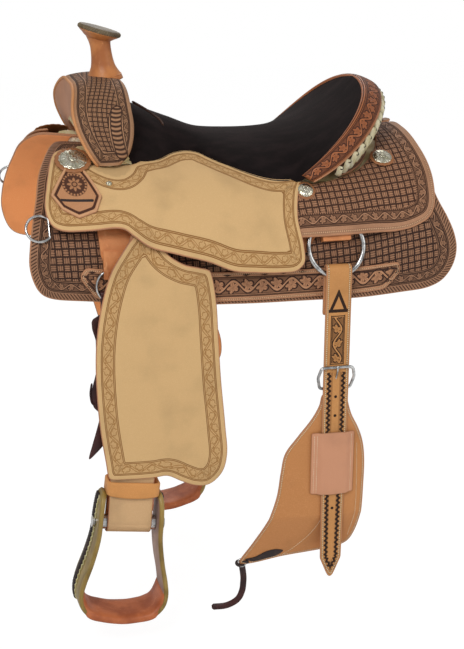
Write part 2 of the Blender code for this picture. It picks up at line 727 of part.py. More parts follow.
def seat_and_cantle():
    cantle_binding("cantle_binding", 0.0)
    tree_cantle()
    seat = seat_solid("seat", 0.0, 0.0, 1.0, -0.174, 0.224, SUEDE)
    ground = seat_solid("ground_seat", 1.0, 0.0023 + GROUND_T, 0.62, -0.150, 0.196, RAWHIDE)
    combine(seat, cantle_binding("room", 6 * GAP), "DIFFERENCE")
    for _, side in SIDES:
        combine(seat, grown_jockey(side), "DIFFERENCE")
        clear_of_side(ground, side)
    room = fork_body("fork_room", FORK_WALL + GAP, True, TOOLED)
    combine(seat, room, "DIFFERENCE")
    room = fork_body("fork_room", FORK_WALL + GAP, True, TOOLED)
    combine(ground, room, "DIFFERENCE")


# Hanging assembly: outlines in the X-Z plane
def hang_sheet(name, outline, n_low, n_high, side, mat):
    levels = [-0.0446, -0.0490, -0.0536, -0.060, -0.07, -0.085, -0.10, -0.115, -0.13, -0.145, -0.16, -0.25, -0.35]
    columns = [HANG_X - 0.045, HANG_X - 0.02, HANG_X - 0.008, HANG_X, HANG_X + 0.008, HANG_X + 0.02, HANG_X + 0.045, HANG_X + 0.075]
    return sheet(
        name, outline,
        lambda x, z: hang_point(x, z, n_low, side),
        lambda x, z: hang_point(x, z, n_high, side),
        mat, columns, levels)


PIVOT_Z = HANG_Z + lift(HANG_X)
FENDER_OUTLINE = rounded([
    (HANG_X - 0.012, PIVOT_Z - 0.036, 0.006), (-0.207, -0.096, 0.012), (-0.240, -0.143, 0.060),
    (-0.266, -0.225, 0.100), (-0.273, -0.330, 0.150), (-0.254, -0.499, 0.004),
    (-0.178, -0.506, 0.0), (-0.152, -0.505, 0.030), (-0.132, -0.522, 0.030), (-0.075, -0.532, 0.045),
    (-0.048, -0.470, 0.060), (-0.062, -0.340, 0.200), (-0.070, -0.200, 0.080), (-0.079, -0.148, 0.006),
    (-0.120, -0.140, 0.020), (-0.150, -0.118, 0.020), (HANG_X + 0.012, PIVOT_Z - 0.036, 0.006)], 3)


def tilted(dx, dz):
    """A point about the stirrup bolt, leaning with the strap's lower end."""
    c, s = math.cos(STRAP_TILT), math.sin(STRAP_TILT)
    return BOLT_X + dx * c + dz * s, BOLT_Z - dx * s + dz * c


def leather_outline():
    w = LEATHER_HALF_W
    wide_z = PIVOT_Z - w / math.tan(NECK_ANGLE)
    low_left = tilted(-w, 0.0)
    low_right = tilted(w, 0.0)
    return rounded([
        (HANG_X - 0.004, PIVOT_Z - 0.004, 0.0), (HANG_X - w, wide_z, 0.012),
        (low_left[0], low_left[1], 0.0), (low_right[0], low_right[1], 0.0),
        (HANG_X + w, wide_z, 0.012), (HANG_X + 0.004, PIVOT_Z - 0.004, 0.0)], 2)


FLANK_Y = section_y(-0.5, 0.0)
LOOP_Y = FLANK_Y + LEATHER_N - ROLLER_R - GAP


def bolt_frame(side):
    """Matrix whose local X is the stirrup bolt and local Z the strap."""
    turn = Matrix.Rotation(STRAP_TILT, 4, "Y")
    return Matrix.Translation((BOLT_X, side * LOOP_Y, BOLT_Z)) @ turn


def place(obj, matrix):
    """Bake a placement into the mesh."""
    obj.data.transform(matrix)
    if matrix.determinant() < 0:
        obj.data.flip_normals()
    return obj


def strap_loop(side):
    """The turn of the stirrup leather round its roller and up behind."""
    frame = bolt_frame(side)
    r0 = ROLLER_R + GAP
    r1 = r0 + LEATHER_T
    w = LEATHER_HALF_W
    up = 0.070
    inner = [Vector((0, side * r0, 0.006))]
    outer = [Vector((0, side * r1, 0.006))]
    for k in range(13):
        a = math.pi * k / 12
        inner.append(Vector((0, side * r0 * math.cos(a), -r0 * math.sin(a))))
        outer.append(Vector((0, side * r1 * math.cos(a), -r1 * math.sin(a))))
    inner.append(Vector((0, -side * r0, up)))
    outer.append(Vector((0, -side * r1, up)))
    ring = inner + list(reversed(outer))
    ends = [[frame @ (p + Vector((dx, 0, 0))) for p in ring] for dx in (-w, w)]
    bm = bmesh.new()
    rows = [[bm.verts.new(p) for p in end] for end in ends]
    n = len(inner)
    size = 2 * n
    for k in range(size):
        m = (k + 1) % size
        bm.faces.new([rows[0][k], rows[0][m], rows[1][m], rows[1][k]])
    for row in rows:
        for k in range(n - 1):
            bm.faces.new([row[k], row[k + 1], row[size - 2 - k], row[size - 1 - k]])
    return new_object("loop", bm, BRIDLE)


def stirrup_half():
    """Side shape of one stirrup leg in the bolt frame: (x, z, half depth)."""
    return [(0.0480, 0.052, 0.016), (0.0505, 0.040, 0.026), (0.0520, 0.015, 0.032),
            (0.0530, -0.020, 0.035), (0.0610, -0.065, 0.0375), (0.0700, -0.100, 0.038),
            (0.0735, -0.122, 0.038), (0.0700, -0.142, 0.038), (0.0560, -0.159, 0.037),
            (0.0300, -0.167, 0.036), (0.0, -0.170, 0.036)]


def stirrup_stations():
    """Whole path of the stirrup with its outward normals."""
    half = stirrup_half()
    path = [(-x, z, d) for x, z, d in half] + [(x, z, d) for x, z, d in reversed(half[:-1])]
    stations = []
    for i, (x, z, d) in enumerate(path):
        a = Vector(path[max(i - 1, 0)][:2])
        b = Vector(path[min(i + 1, len(path) - 1)][:2])
        t = (b - a).normalized()
        stations.append((x, z, d, Vector((t.y, -t.x))))
    return stations


def stirrup(tag, side):
    frame = bolt_frame(side)
    rings = []
    for x, z, d, normal in stirrup_stations():
        w = STIRRUP_WALL / 2
        ring = []
        for across, out in ((-d, -0.5 * w), (-d * 0.9, -w), (d * 0.9, -w), (d, -0.5 * w),
                            (d, 0.5 * w), (d * 0.9, w), (-d * 0.9, w), (-d, 0.5 * w)):
            ring.append(frame @ Vector((x + normal.x * out, across, z + normal.y * out)))
        rings.append(ring)
    body = loft("stirrup_" + tag, rings, BRIDLE)
    hole = turned("bore", [(BOLT_R + GAP, -0.09), (BOLT_R + GAP, 0.09)], Vector((0, 0, 0)),
                  Matrix.Rotation(math.pi / 2, 3, "Y"), STEEL, 16)
    place(hole, frame)
    combine(body, hole, "DIFFERENCE")
    tread(tag, frame)
    bolt(tag, frame)


def tread(tag, frame):
    """Leather pad wrapped on the stirrup's floor."""
    rings = []
    for x, z, d, normal in stirrup_stations()[TREAD_FROM:-TREAD_FROM]:
        up = -normal
        low = STIRRUP_WALL / 2 + GAP
        d2 = d + 0.0006
        top = low + TREAD_T * 0.4
        ring = []
        for across, out in ((-d2 - 0.003, -low - 0.002), (-d2 - 0.003, low), (-d2, top), (d2, top),
                            (d2 + 0.003, low), (d2 + 0.003, -low - 0.002), (d2, -low - 0.002),
                            (d2, low), (-d2, low), (-d2, -low - 0.002)):
            ring.append(frame @ Vector((x + up.x * out, across, z + up.y * out)))
        rings.append(ring)
    bm = bmesh.new()
    rows = [[bm.verts.new(p) for p in ring] for ring in rings]
    size = len(rows[0])
    for i in range(len(rows) - 1):
        for k in range(size):
            m = (k + 1) % size
            bm.faces.new([rows[i][k], rows[i][m], rows[i + 1][m], rows[i + 1][k]])
    for row in (rows[0], rows[-1]):
        bm.faces.new([row[0], row[1], row[8], row[9]])
        bm.faces.new([row[1], row[2], row[3], row[4], row[7], row[8]])
        bm.faces.new([row[4], row[5], row[6], row[7]])
    bmesh.ops.triangulate(bm, faces=bm.faces)
    new_object("stirrup_tread_" + tag, bm, TREAD_LEATHER)


def bolt(tag, frame):
    """Bolt through both legs with the roller between them."""
    leg = 0.0523
    end = leg + STIRRUP_WALL / 2 + 0.0008
    r, rr, w = BOLT_R, ROLLER_R, leg - STIRRUP_WALL / 2 - 0.0015
    profile = [(0.010, -end - 0.004), (0.010, -end), (r, -end), (r, -w), (rr, -w), (rr, w), (r, w),
               (r, end), (0.010, end), (0.010, end + 0.004)]
    body = turned("stirrup_bolt_" + tag, profile, Vector((0, 0, 0)), Matrix.Rotation(math.pi / 2, 3, "Y"),
                  STEEL, 16)
    place(body, frame)


def box_ring(frame, x0, x1, y0, y1, z0, z1):
    return [[frame @ Vector((x, y, z)) for x, y in ((x0, y0), (x1, y0), (x1, y1), (x0, y1))] for z in (z0, z1)]


def hobble_strap(name, side, grow):
    """Band round both plies of the leather and the fender's foot."""
    frame = bolt_frame(side)
    w = LEATHER_HALF_W + 0.0065 - grow
    out = section_y(-0.5, FENDER_N + FENDER_T) - LOOP_Y + 2 * GAP
    back = ROLLER_R + LEATHER_T + 3 * GAP
    t = 0.0030 + 2 * grow
    low, high = 0.0550 - grow, 0.0785 + grow
    outer = box_ring(frame, -w - t, w + t, *sorted((side * (out + t), -side * (back + t))), low, high)
    inner = box_ring(frame, -w, w, *sorted((side * out, -side * back)), low - 0.01, high + 0.01)
    body = loft(name, outer, BRIDLE)
    combine(body, loft("bore", inner, BRIDLE), "DIFFERENCE")
    return body


def hanging(tag, side):
    before = set(bpy.data.objects)
    fender = hang_sheet("fender_" + tag, FENDER_OUTLINE, FENDER_N, FENDER_N + FENDER_T, side, ROUGHOUT)
    strap = hang_sheet("stirrup_leather_" + tag, leather_outline(), LEATHER_N, LEATHER_N + LEATHER_T, side, BRIDLE)
    combine(strap, strap_loop(side), "UNION")
    combine(fender, hobble_strap("room", side, GAP), "DIFFERENCE")
    hobble_strap("hobble_strap_" + tag, side, 0.0)
    stirrup(tag, side)
    made = [o for o in bpy.data.objects if o not in before]
    if tag == "off":
        swing = (Matrix.Translation((HANG_X, 0, PIVOT_Z)) @ Matrix.Rotation(-OFF_SWING, 4, "Y")
                 @ Matrix.Translation((-HANG_X, 0, -PIVOT_Z)))
        for obj in made:
            place(obj, swing)


def rear_ring_point(angle, side, centre_y):
    x = RING_R * math.sin(angle)
    z = -RING_R * math.cos(angle)
    z = min(z, RING_TOP)
    y = centre_y - z * math.tan(RING_TILT)
    return Vector((RING_X + x, side * y, RING_Z + z))


RING_Y = FLANK_Y + RING_N


def rear_ring_path(side):
    top = math.acos(-RING_TOP / RING_R)
    count = 24
    path = [rear_ring_point(-top + 2 * top * k / count, side, RING_Y) for k in range(count + 1)]
    left, right = path[0], path[-1]
    return path + [right.lerp(left, f) for f in (0.25, 0.5, 0.75)]


def front_ring_path(side):
    """Upright D ring that takes the latigo."""
    x, z = FRONT_RING_X, FRONT_RING_Z
    y = side * (FLANK_Y + FRONT_RING_N)
    top = math.acos(-FRONT_RING_TOP / FRONT_RING_R)
    count = 20
    turns = [-top + 2 * top * k / count for k in range(count + 1)]
    path = [Vector((x + FRONT_RING_R * math.sin(a), y, z - FRONT_RING_R * math.cos(a))) for a in turns]
    left, right = path[0], path[-1]
    return path + [right.lerp(left, f) for f in (0.3, 0.7)]


def front_rigging(tag, side):
    """Rigging leather under the fender with its fold round the front ring's bar."""
    body = laid("front_rigging_" + tag, FRONT_RIG_OUTLINE, RIG_LO, RIG_LO + FRONT_RIG_T, side, BRIDLE)
    fold = laid("fold", FRONT_FOLD_OUTLINE, RIG_HI + GAP, FRONT_FOLD_N, side, BRIDLE)
    combine(body, fold, "UNION")
    room = wire("room", front_ring_path(side), FRONT_RING_WIRE + GAP, STEEL)
    combine(body, room, "DIFFERENCE")


def rear_rigging(tag, side):
    """Rigging leather with its fold round the ring's top bar."""
    body = laid("rear_rigging_" + tag, REAR_RIG_OUTLINE, RIG_LO, RIG_LO + REAR_RIG_T, side, BRIDLE)
    fold = laid("fold", REAR_FOLD_OUTLINE, RIG_LO, REAR_FOLD_N, side, BRIDLE)
    combine(body, fold, "UNION")
    room = wire("room", rear_ring_path(side), RING_WIRE + GAP, STEEL)
    combine(body, room, "DIFFERENCE")


def billet_frame(side, y):
    turn = Matrix.Rotation(BILLET_LEAN, 4, "Y")
    return Matrix.Translation((RING_X, side * y, RING_Z - RING_R)) @ turn


def folded_strap(name, frame, side, size, outline, mat):
    """Strap turned over a bar: size is half width, bar room, thickness, rise and inner end."""
    w, r0, thick, rise, inner_end = size
    r1 = r0 + thick
    leg = -0.020
    inner = [Vector((0, -side * r0, leg))]
    outer = [Vector((0, -side * r1, leg))]
    for k in range(9):
        a = math.pi * k / 8
        inner.append(Vector((0, -side * r0 * math.cos(a), rise + r0 * math.sin(a))))
        outer.append(Vector((0, -side * r1 * math.cos(a), rise + r1 * math.sin(a))))
    inner.append(Vector((0, side * r0, leg)))
    outer.append(Vector((0, side * r1, leg)))
    bm = bmesh.new()
    rows = [[bm.verts.new(frame @ (p + Vector((dx, 0, 0)))) for p in inner + outer] for dx in (-w, w)]
    n = len(inner)
    for k in range(n - 1):
        bm.faces.new([rows[0][k], rows[0][k + 1], rows[1][k + 1], rows[1][k]])
        bm.faces.new([rows[0][n + k + 1], rows[0][n + k], rows[1][n + k], rows[1][n + k + 1]])
        for row in rows:
            bm.faces.new([row[k], row[k + 1], row[n + k + 1], row[n + k]])
    for k in (0, n - 1):
        bm.faces.new([rows[0][k], rows[1][k], rows[1][n + k], rows[0][n + k]])
    fold = new_object("fold", bm, mat)
    strap = sheet(name, outline,
                  lambda x, z: frame @ Vector((x, side * r0, z)),
                  lambda x, z: frame @ Vector((x, side * r1, z)), mat)
    seam = leg + 0.0005
    ply = sheet("ply", [(-w, seam), (-w, inner_end), (w, inner_end), (w, seam)],
                lambda x, z: frame @ Vector((x, -side * r1, z)),
                lambda x, z: frame @ Vector((x, -side * r0, z)), mat)
    low, high = inner_end + 0.004, max(leg - 0.010, inner_end + 0.015)
    join = sheet("join", [(-w + 0.001, high), (-w + 0.001, low), (w - 0.001, low), (w - 0.001, high)],
                 lambda x, z: frame @ Vector((x, -side * (r1 - 0.001), z)),
                 lambda x, z: frame @ Vector((x, side * (r1 - 0.001), z)), mat)
    combine(fold, ply, "UNION")
    combine(fold, join, "UNION")
    combine(strap, fold, "UNION")


BILLET_ROOM = RING_WIRE + 0.0020
BILLET_FACE = BILLET_ROOM + BILLET_T


def billet(tag, side, length):
    """Flank billet: doubled at the ring, tapered tip."""
    frame = billet_frame(side, RING_Y + RING_R * math.tan(RING_TILT) - 0.0008)
    w = BILLET_W / 2
    outline = rounded([(-w, -0.0195, 0.0), (-w, -length * 0.45, 0.0), (-w * 0.84, -length + 0.045, 0.010),
                       (0.0, -length, 0.008), (w * 0.84, -length + 0.045, 0.010), (w, -length * 0.45, 0.0),
                       (w, -0.0195, 0.0)], 2)
    size = (w, BILLET_ROOM, BILLET_T, 0.0105, -0.070)
    folded_strap("flank_billet_" + tag, frame, side, size, outline, BRIDLE)
    return frame


def latigo(side):
    """Cinch strap hanging from the front ring with a loop in it."""
    frame = Matrix.Translation((-0.2490, side * (FLANK_Y + FRONT_RING_N), FRONT_RING_Z - 0.026))
    w = LATIGO_HALF_W
    outline = rounded([(-w, -0.0195, 0.0), (-0.0275, -0.030, 0.006), (-0.0207, -0.065, 0.012),
                       (-0.0203, -0.117, 0.010), (-0.0314, -0.1595, 0.012), (-0.0155, -0.194, 0.010),
                       (-0.0395, -0.279, 0.003), (-0.0084, -0.2465, 0.006), (w, -0.190, 0.010),
                       (w, -0.0195, 0.0)], 2)
    size = (w, FRONT_RING_WIRE + GAP, LATIGO_T, 0.0140, -0.060)
    folded_strap("latigo", frame, side, size, outline, LATIGO)


CINCH_OUTLINE = rounded([
    (-0.020, -0.208, 0.006), (-0.032, -0.238, 0.030), (-0.089, -0.318, 0.040), (-0.098, -0.390, 0.080),
    (-0.122, -0.455, 0.080), (-0.156, -0.528, 0.010), (-0.100, -0.524, 0.050), (0.010, -0.506, 0.0),
    (0.045, -0.497, 0.035), (0.056, -0.430, 0.080), (0.058, -0.330, 0.060), (0.050, -0.290, 0.050),
    (0.031, -0.245, 0.020), (0.022, -0.208, 0.006)], 3)


def flank_cinch(frame, side):
    """Near half of the flank cinch, folded at its middle, with the off half behind."""
    sheet("flank_cinch", CINCH_OUTLINE, lambda x, z: cinch_point(frame, side, x, z, 0.0),
          lambda x, z: cinch_point(frame, side, x, z, CINCH_T), BRIDLE, (), (CINCH_BEND, -0.330))


def cinch_point(frame, side, x, z, depth):
    """Point of the cinch: flat behind the billet, then drawn in under the belly."""
    drawn = min(z - CINCH_BEND, 0.0) * CINCH_DRAW
    return frame @ Vector((x, side * (BILLET_ROOM - GAP - depth + drawn), z))


def flank_fittings(frame, side):
    """Buckle frame, keeper and connector strap of the flank cinch."""
    y = side * (BILLET_FACE + GAP + BUCKLE_WIRE)
    corners = [(-0.026, -0.158), (0.026, -0.158), (0.031, -0.172), (0.026, -0.196), (-0.026, -0.196),
               (-0.031, -0.172)]
    path = []
    for i, corner in enumerate(corners):
        ahead = corners[(i + 1) % len(corners)]
        path += [frame @ Vector((corner[0] + (ahead[0] - corner[0]) * f, y,
                                 corner[1] + (ahead[1] - corner[1]) * f)) for f in (0.12, 0.5, 0.88)]
    wire("flank_buckle", path, BUCKLE_WIRE, STEEL)
    keeper(frame, side)
    path = [cinch_point(frame, side, -0.128, -0.500, CINCH_T + GAP + 0.0020),
            cinch_point(frame, side, -0.150, -0.540, CINCH_T + GAP + 0.0020),
            Vector((-0.011, side * 0.176, -0.745)), Vector((-0.012, side * 0.170, -0.760)),
            Vector((-0.020, side * 0.158, -0.7790)), Vector((-0.038, side * 0.140, -0.7927)),
            Vector((-0.0732, side * 0.105, -0.797))]
    wire("connector_strap", path, 0.0055, LATIGO, closed=False, flat=0.35)


def keeper(frame, side):
    """Leather sleeve on the cinch that takes the billet's tail."""
    w, t = BILLET_W / 2 + 0.0012, 0.0028
    base = BILLET_ROOM
    face = BILLET_FACE + GAP
    section = [(-w - 0.018, base), (-w - 0.018, base + t), (-w - t, base + t), (-w - t, face + t), (w + t, face + t),
               (w + t, base + t), (w + 0.014, base + t), (w + 0.014, base), (w, base), (w, face), (-w, face),
               (-w, base)]
    ends = [[frame @ Vector((x, side * y, z)) for x, y in section] for z in (-0.388, -0.276)]
    bm = bmesh.new()
    rows = [[bm.verts.new(p) for p in end] for end in ends]
    size = len(section)
    for k in range(size):
        m = (k + 1) % size
        bm.faces.new([rows[0][k], rows[0][m], rows[1][m], rows[1][k]])
    for row in rows:
        for quad in ((0, 1, 2, 11), (2, 3, 10, 11), (3, 4, 9, 10), (4, 5, 8, 9), (5, 6, 7, 8)):
            bm.faces.new([row[k] for k in quad])
    new_object("billet_keeper", bm, BRIDLE)


def rest_on(names, x, s, radius, side):
    """Frame of a disc laid on the named layers: its normal is the form's."""
    ya, za = form_section(s - 0.01, 0.0)
    yb, zb = form_section(s + 0.01, 0.0)
    down = Vector((0, side * (yb - ya), zb - za)).normalized()
    normal = Vector((1, 0, 0)).cross(down) * side
    spot = side_point(x, s, 0.0, side)
    turn = Matrix((Vector((1, 0, 0)), normal.cross(Vector((1, 0, 0))), normal)).transposed()
    height = 0.0
    for name in names:
        mesh = bpy.data.objects[name].data
        tree = BVHTree.FromPolygons([v.co for v in mesh.vertices], [p.vertices for p in mesh.polygons])
        for ring in (0.0, 0.5, 1.0):
            for k in range(12):
                a = 2 * math.pi * k / 12
                offset = turn @ Vector((radius * ring * math.cos(a), radius * ring * math.sin(a), 0))
                start = spot + offset + normal * 0.08
                at, _, _, _ = tree.ray_cast(start, -normal)
                if at is not None:
                    height = max(height, (at - spot).dot(normal))
    return spot + normal * (height + GAP), turn


def conchos(tag, side):
    rests = {"front": ["seat_jockey_" + tag, "latigo_keeper_" + tag], "waist": ["seat_jockey_" + tag, "back_jockey_" + tag],
             "rear": ["back_jockey_" + tag]}
    for part, (x, s, r) in CONCHOS.items():
        spot, turn = rest_on(rests[part], x, s, r, side)
        profile = [(r * 0.985, 0.0), (r, 0.0008), (r * 0.93, CONCHO_T * 0.42), (r * 0.55, CONCHO_T * 0.85),
                   (r * 0.18, CONCHO_T)]
        turned("concho_" + part + "_" + tag, profile, spot, turn, SILVER, 24)


PLAQUE_OUTLINE = rounded([(-0.299, 0.133, 0.0), (-0.274, 0.133, 0.0), (-0.2505, 0.188, 0.004), (-0.262, 0.211, 0.004),
                          (-0.291, 0.220, 0.004), (-0.315, 0.209, 0.004), (-0.331, 0.188, 0.004)], 2)
PLAQUE_SLIT = [(-0.315, 0.1885), (-0.315, 0.1925), (-0.260, 0.1925), (-0.260, 0.1885)]


def latigo_keeper(tag, side):
    """Plaque with a slit for the strap's end."""
    body = laid("latigo_keeper_" + tag, PLAQUE_OUTLINE, lambda x, s: jockey_high(x, s) + GAP,
                lambda x, s: jockey_high(x, s) + GAP + 0.0032, side, TOOLED, LAID_COLUMNS)
    slit = laid("slit", PLAQUE_SLIT, jockey_high, lambda x, s: jockey_high(x, s) + 0.008, side, TOOLED)
    combine(body, slit, "DIFFERENCE")
    combine(body, grown_jockey(side), "DIFFERENCE")


def breast_dee(tag, side):
    """Dee on the skirt's front edge for the breast collar."""
    spot, turn = rest_on(["skirt_" + tag], *DEE_AT, DEE_R, side)
    path = []
    for k in range(24):
        a = 2 * math.pi * k / 24
        u = DEE_R * math.cos(a)
        path.append(spot + turn @ Vector((min(u, DEE_R * 0.72), DEE_R * math.sin(a), DEE_WIRE)))
    wire("breast_dee_" + tag, path, DEE_WIRE, STEEL)


CINCH_T = 0.0045
CINCH_BEND = -0.430
CINCH_DRAW = 0.35
SLIDE_N = 0.0195


def tree_bar(tag, side):
    """Bar with the raised slide on which the stirrup leather turns."""
    body = laid("tree_bar_" + tag, BAR_OUTLINE, BAR_LO, BAR_HI, side, RAWHIDE)
    top, low = PIVOT_Z - 0.006, PIVOT_Z - 0.0150
    outline = [(HANG_X - 0.012, top), (HANG_X - 0.012, low), (HANG_X + 0.012, low), (HANG_X + 0.012, top)]
    slide = hang_sheet("slide", outline, SLIDE_N, LEATHER_N - 4 * GAP, side, RAWHIDE)
    combine(body, slide, "UNION")


def main():
    for tag, side in SIDES:
        side_layers(tag, side)
        hanging(tag, side)
        wire("rear_ring_" + tag, rear_ring_path(side), RING_WIRE, STEEL)
        wire("front_ring_" + tag, front_ring_path(side), FRONT_RING_WIRE, STEEL)
        rear_rigging(tag, side)
        latigo_keeper(tag, side)
        conchos(tag, side)
        breast_dee(tag, side)
    fork_and_horn()
    seat_and_cantle()
    frame = billet("near", -1.0, 0.556)
    billet("off", 1.0, 0.170)
    flank_cinch(frame, -1.0)
    flank_fittings(frame, -1.0)
    latigo(-1.0)


main()
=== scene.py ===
"""Roping saddle: the leathers, metal and wool that show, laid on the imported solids.

Metres, +Z up, -X is the front, -Y is the near side. Sizes shared with the
solids are repeated here under the same names. Outlines are in millimetres.
"""
from functools import partialmethod
from math import acos, copysign, cos, hypot, pi, radians, sin, sqrt, tan

import bmesh
import bpy
import numpy as np
from mathutils import Matrix, Vector, noise
from mathutils.geometry import delaunay_2d_cdt


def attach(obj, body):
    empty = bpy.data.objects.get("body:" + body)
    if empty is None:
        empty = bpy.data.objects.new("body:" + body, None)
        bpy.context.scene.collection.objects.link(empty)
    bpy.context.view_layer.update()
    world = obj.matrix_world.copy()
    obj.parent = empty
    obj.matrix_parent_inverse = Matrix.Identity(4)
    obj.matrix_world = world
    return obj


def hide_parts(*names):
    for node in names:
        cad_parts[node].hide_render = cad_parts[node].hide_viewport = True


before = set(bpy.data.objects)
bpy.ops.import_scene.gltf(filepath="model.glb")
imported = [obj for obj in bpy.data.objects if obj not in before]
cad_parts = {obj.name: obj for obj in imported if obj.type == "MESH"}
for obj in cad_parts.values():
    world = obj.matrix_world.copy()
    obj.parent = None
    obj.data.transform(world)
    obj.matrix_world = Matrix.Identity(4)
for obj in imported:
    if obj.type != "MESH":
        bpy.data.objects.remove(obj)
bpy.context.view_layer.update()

# Side form of the solids
BACK_R = 0.22
FLANK_R = 0.1
BACK_TURN = radians(60)
ARC_END = BACK_R * BACK_TURN
S_FLANK = ARC_END + FLANK_R * radians(30)
FLANK_Y = (BACK_R - FLANK_R) * sin(BACK_TURN) + FLANK_R
FLANK_TOP_Z = -BACK_R + (BACK_R - FLANK_R) * cos(BACK_TURN)
LIFT_X = (-0.45, -0.26, -0.12, 0.0, 0.18, 0.45)
LIFT_Z = (0.043, 0.02, 0.004, 0.0, 0.0, 0.0245)
LIFT_SOFT = 0.018

# Layers, measured outwards from the horse
FLEECE_T = 0.01
SKIRT_LO = 0.0103
SKIRT_T = 0.0042
PLATE_LO = 0.0148
PLATE_T = 0.0035
JOCKEY_BASE = 0.0231
LEATHER_T = 0.004
ROW = ARC_END / 7
TURN = FLANK_R * radians(10)
S_ROWS = [ROW * k for k in range(8)] + [ARC_END + TURN * k for k in (1, 2, 3)]

# Hanging leathers
HANG_X = -0.185
HANG_Z = -0.05
PIVOT_Z = -0.0385714
LEATHER_N = 0.0284
LEATHER_HALF_W = 0.038
FENDER_N = 0.0336
FENDER_T = 0.0042
OFF_SWING = radians(14)
BOLT_X = -0.2215
BOLT_Z = -0.589
ROLLER_R = 0.013
STRAP_TILT = radians(7)
STIRRUP_WALL = 0.01
PLAY = 0.0003
LOOP_Y = FLANK_Y + LEATHER_N - ROLLER_R - PLAY

# Rigging
RING_X = 0.139
RING_Z = FLANK_TOP_Z + 0.033
RING_R = 0.0475
RING_WIRE = 0.004
RING_TOP = 0.027
RING_TILT = radians(16)
RING_Y = FLANK_Y + 0.0156
FRONT_RING_X = -0.238
FRONT_RING_Z = FLANK_TOP_Z - 0.008
FRONT_RING_R = 0.028
FRONT_RING_WIRE = 0.002
FRONT_RING_Y = FLANK_Y + 0.0231
FRONT_RING_TOP = 0.022
BILLET_HALF_W = 0.0225
BILLET_ROOM = RING_WIRE + 0.002
BILLET_T = 0.0036
BILLET_LEAN = radians(0.7)
BILLET_LENGTH = 0.556
BILLET_SHORT = 0.17

# Fork, horn and cantle
FORK_TOP = 0.132
COVER_T = 0.0035
HORN_X = -0.209
HORN_CAP_Z = 0.2125
HORN_LEAN = radians(-6)
HORN_CAP_TILT = radians(16)
HORN_CAP_R = 0.0375
RIM_IN = (0.0014, 0.236, 0.173, -0.0536, 0.124, 0.36, 0.553)
RIM_OUT = (0.0468, 0.273, 0.1834, -0.0351, 0.108, 0.4975, 0.88)
BINDING_T = 0.013
CANTLE_T = 0.012

SIDES = (("near", -1.0), ("off", 1.0))
TAU = 2 * pi


def srgb(r, g, b):
    """Linear colour of an eight-bit screen colour."""
    parts = [c / 255 for c in (r, g, b)]
    return tuple(c / 12.92 if c < 0.04045 else ((c + 0.055) / 1.055) ** 2.4 for c in parts) + (1.0,)


def is_socket(value):
    return isinstance(value, bpy.types.NodeSocket)


def feed(tree, slots, values):
    """Link each value that is a socket, and set the others."""
    for key, value in values.items():
        if is_socket(value):
            tree.links.new(value, slots[key])
        else:
            slots[key].default_value = value


def node(tree, kind, values, **settings):
    made = tree.nodes.new("ShaderNode" + kind)
    for key, value in settings.items():
        setattr(made, key, value)
    feed(tree, made.inputs, values)
    return made


class Num:
    """A value inside a material, with ordinary arithmetic."""

    def __init__(self, tree, socket):
        self.tree = tree
        self.socket = socket

    def op(self, kind, *others):
        values = [v.socket if isinstance(v, Num) else v for v in (self,) + others]
        return Num(self.tree, node(self.tree, "Math", dict(enumerate(values)), operation=kind).outputs[0])

    __add__ = partialmethod(op, "ADD")
    __sub__ = partialmethod(op, "SUBTRACT")
    __mul__ = partialmethod(op, "MULTIPLY")
    __truediv__ = partialmethod(op, "DIVIDE")
    __abs__ = partialmethod(op, "ABSOLUTE")
    sin = partialmethod(op, "SINE")
    cos = partialmethod(op, "COSINE")
    floor = partialmethod(op, "FLOOR")
    root = partialmethod(op, "SQRT")
    angle = partialmethod(op, "ARCTAN2")
    wrap = partialmethod(op, "FLOORED_MODULO")
    most = partialmethod(op, "MAXIMUM")

    def __rsub__(self, other):
        return self * -1.0 + other

    def wave(self):
        """Cosine between 0 and 1."""
        return self.cos() * 0.5 + 0.5

    def step(self, low, high):
        """0 below low, 1 above high, smooth between."""
        values = {"Value": self.socket, "From Min": low, "From Max": high}
        made = node(self.tree, "MapRange", values, interpolation_type="SMOOTHSTEP")
        return Num(self.tree, made.outputs["Result"])

    def below(self, low, high):
        return 1 - self.step(low, high)

    def near(self, middle, inner, outer):
        """1 within inner of a middle value, 0 beyond outer."""
        return abs(self - middle).below(inner, outer)

    def within(self, inner, outer):
        return abs(self).near(0.0, inner, outer)

    def toward(self, share, other):
        away = other - self if isinstance(other, Num) else self * -1.0 + other
        return self + away * share


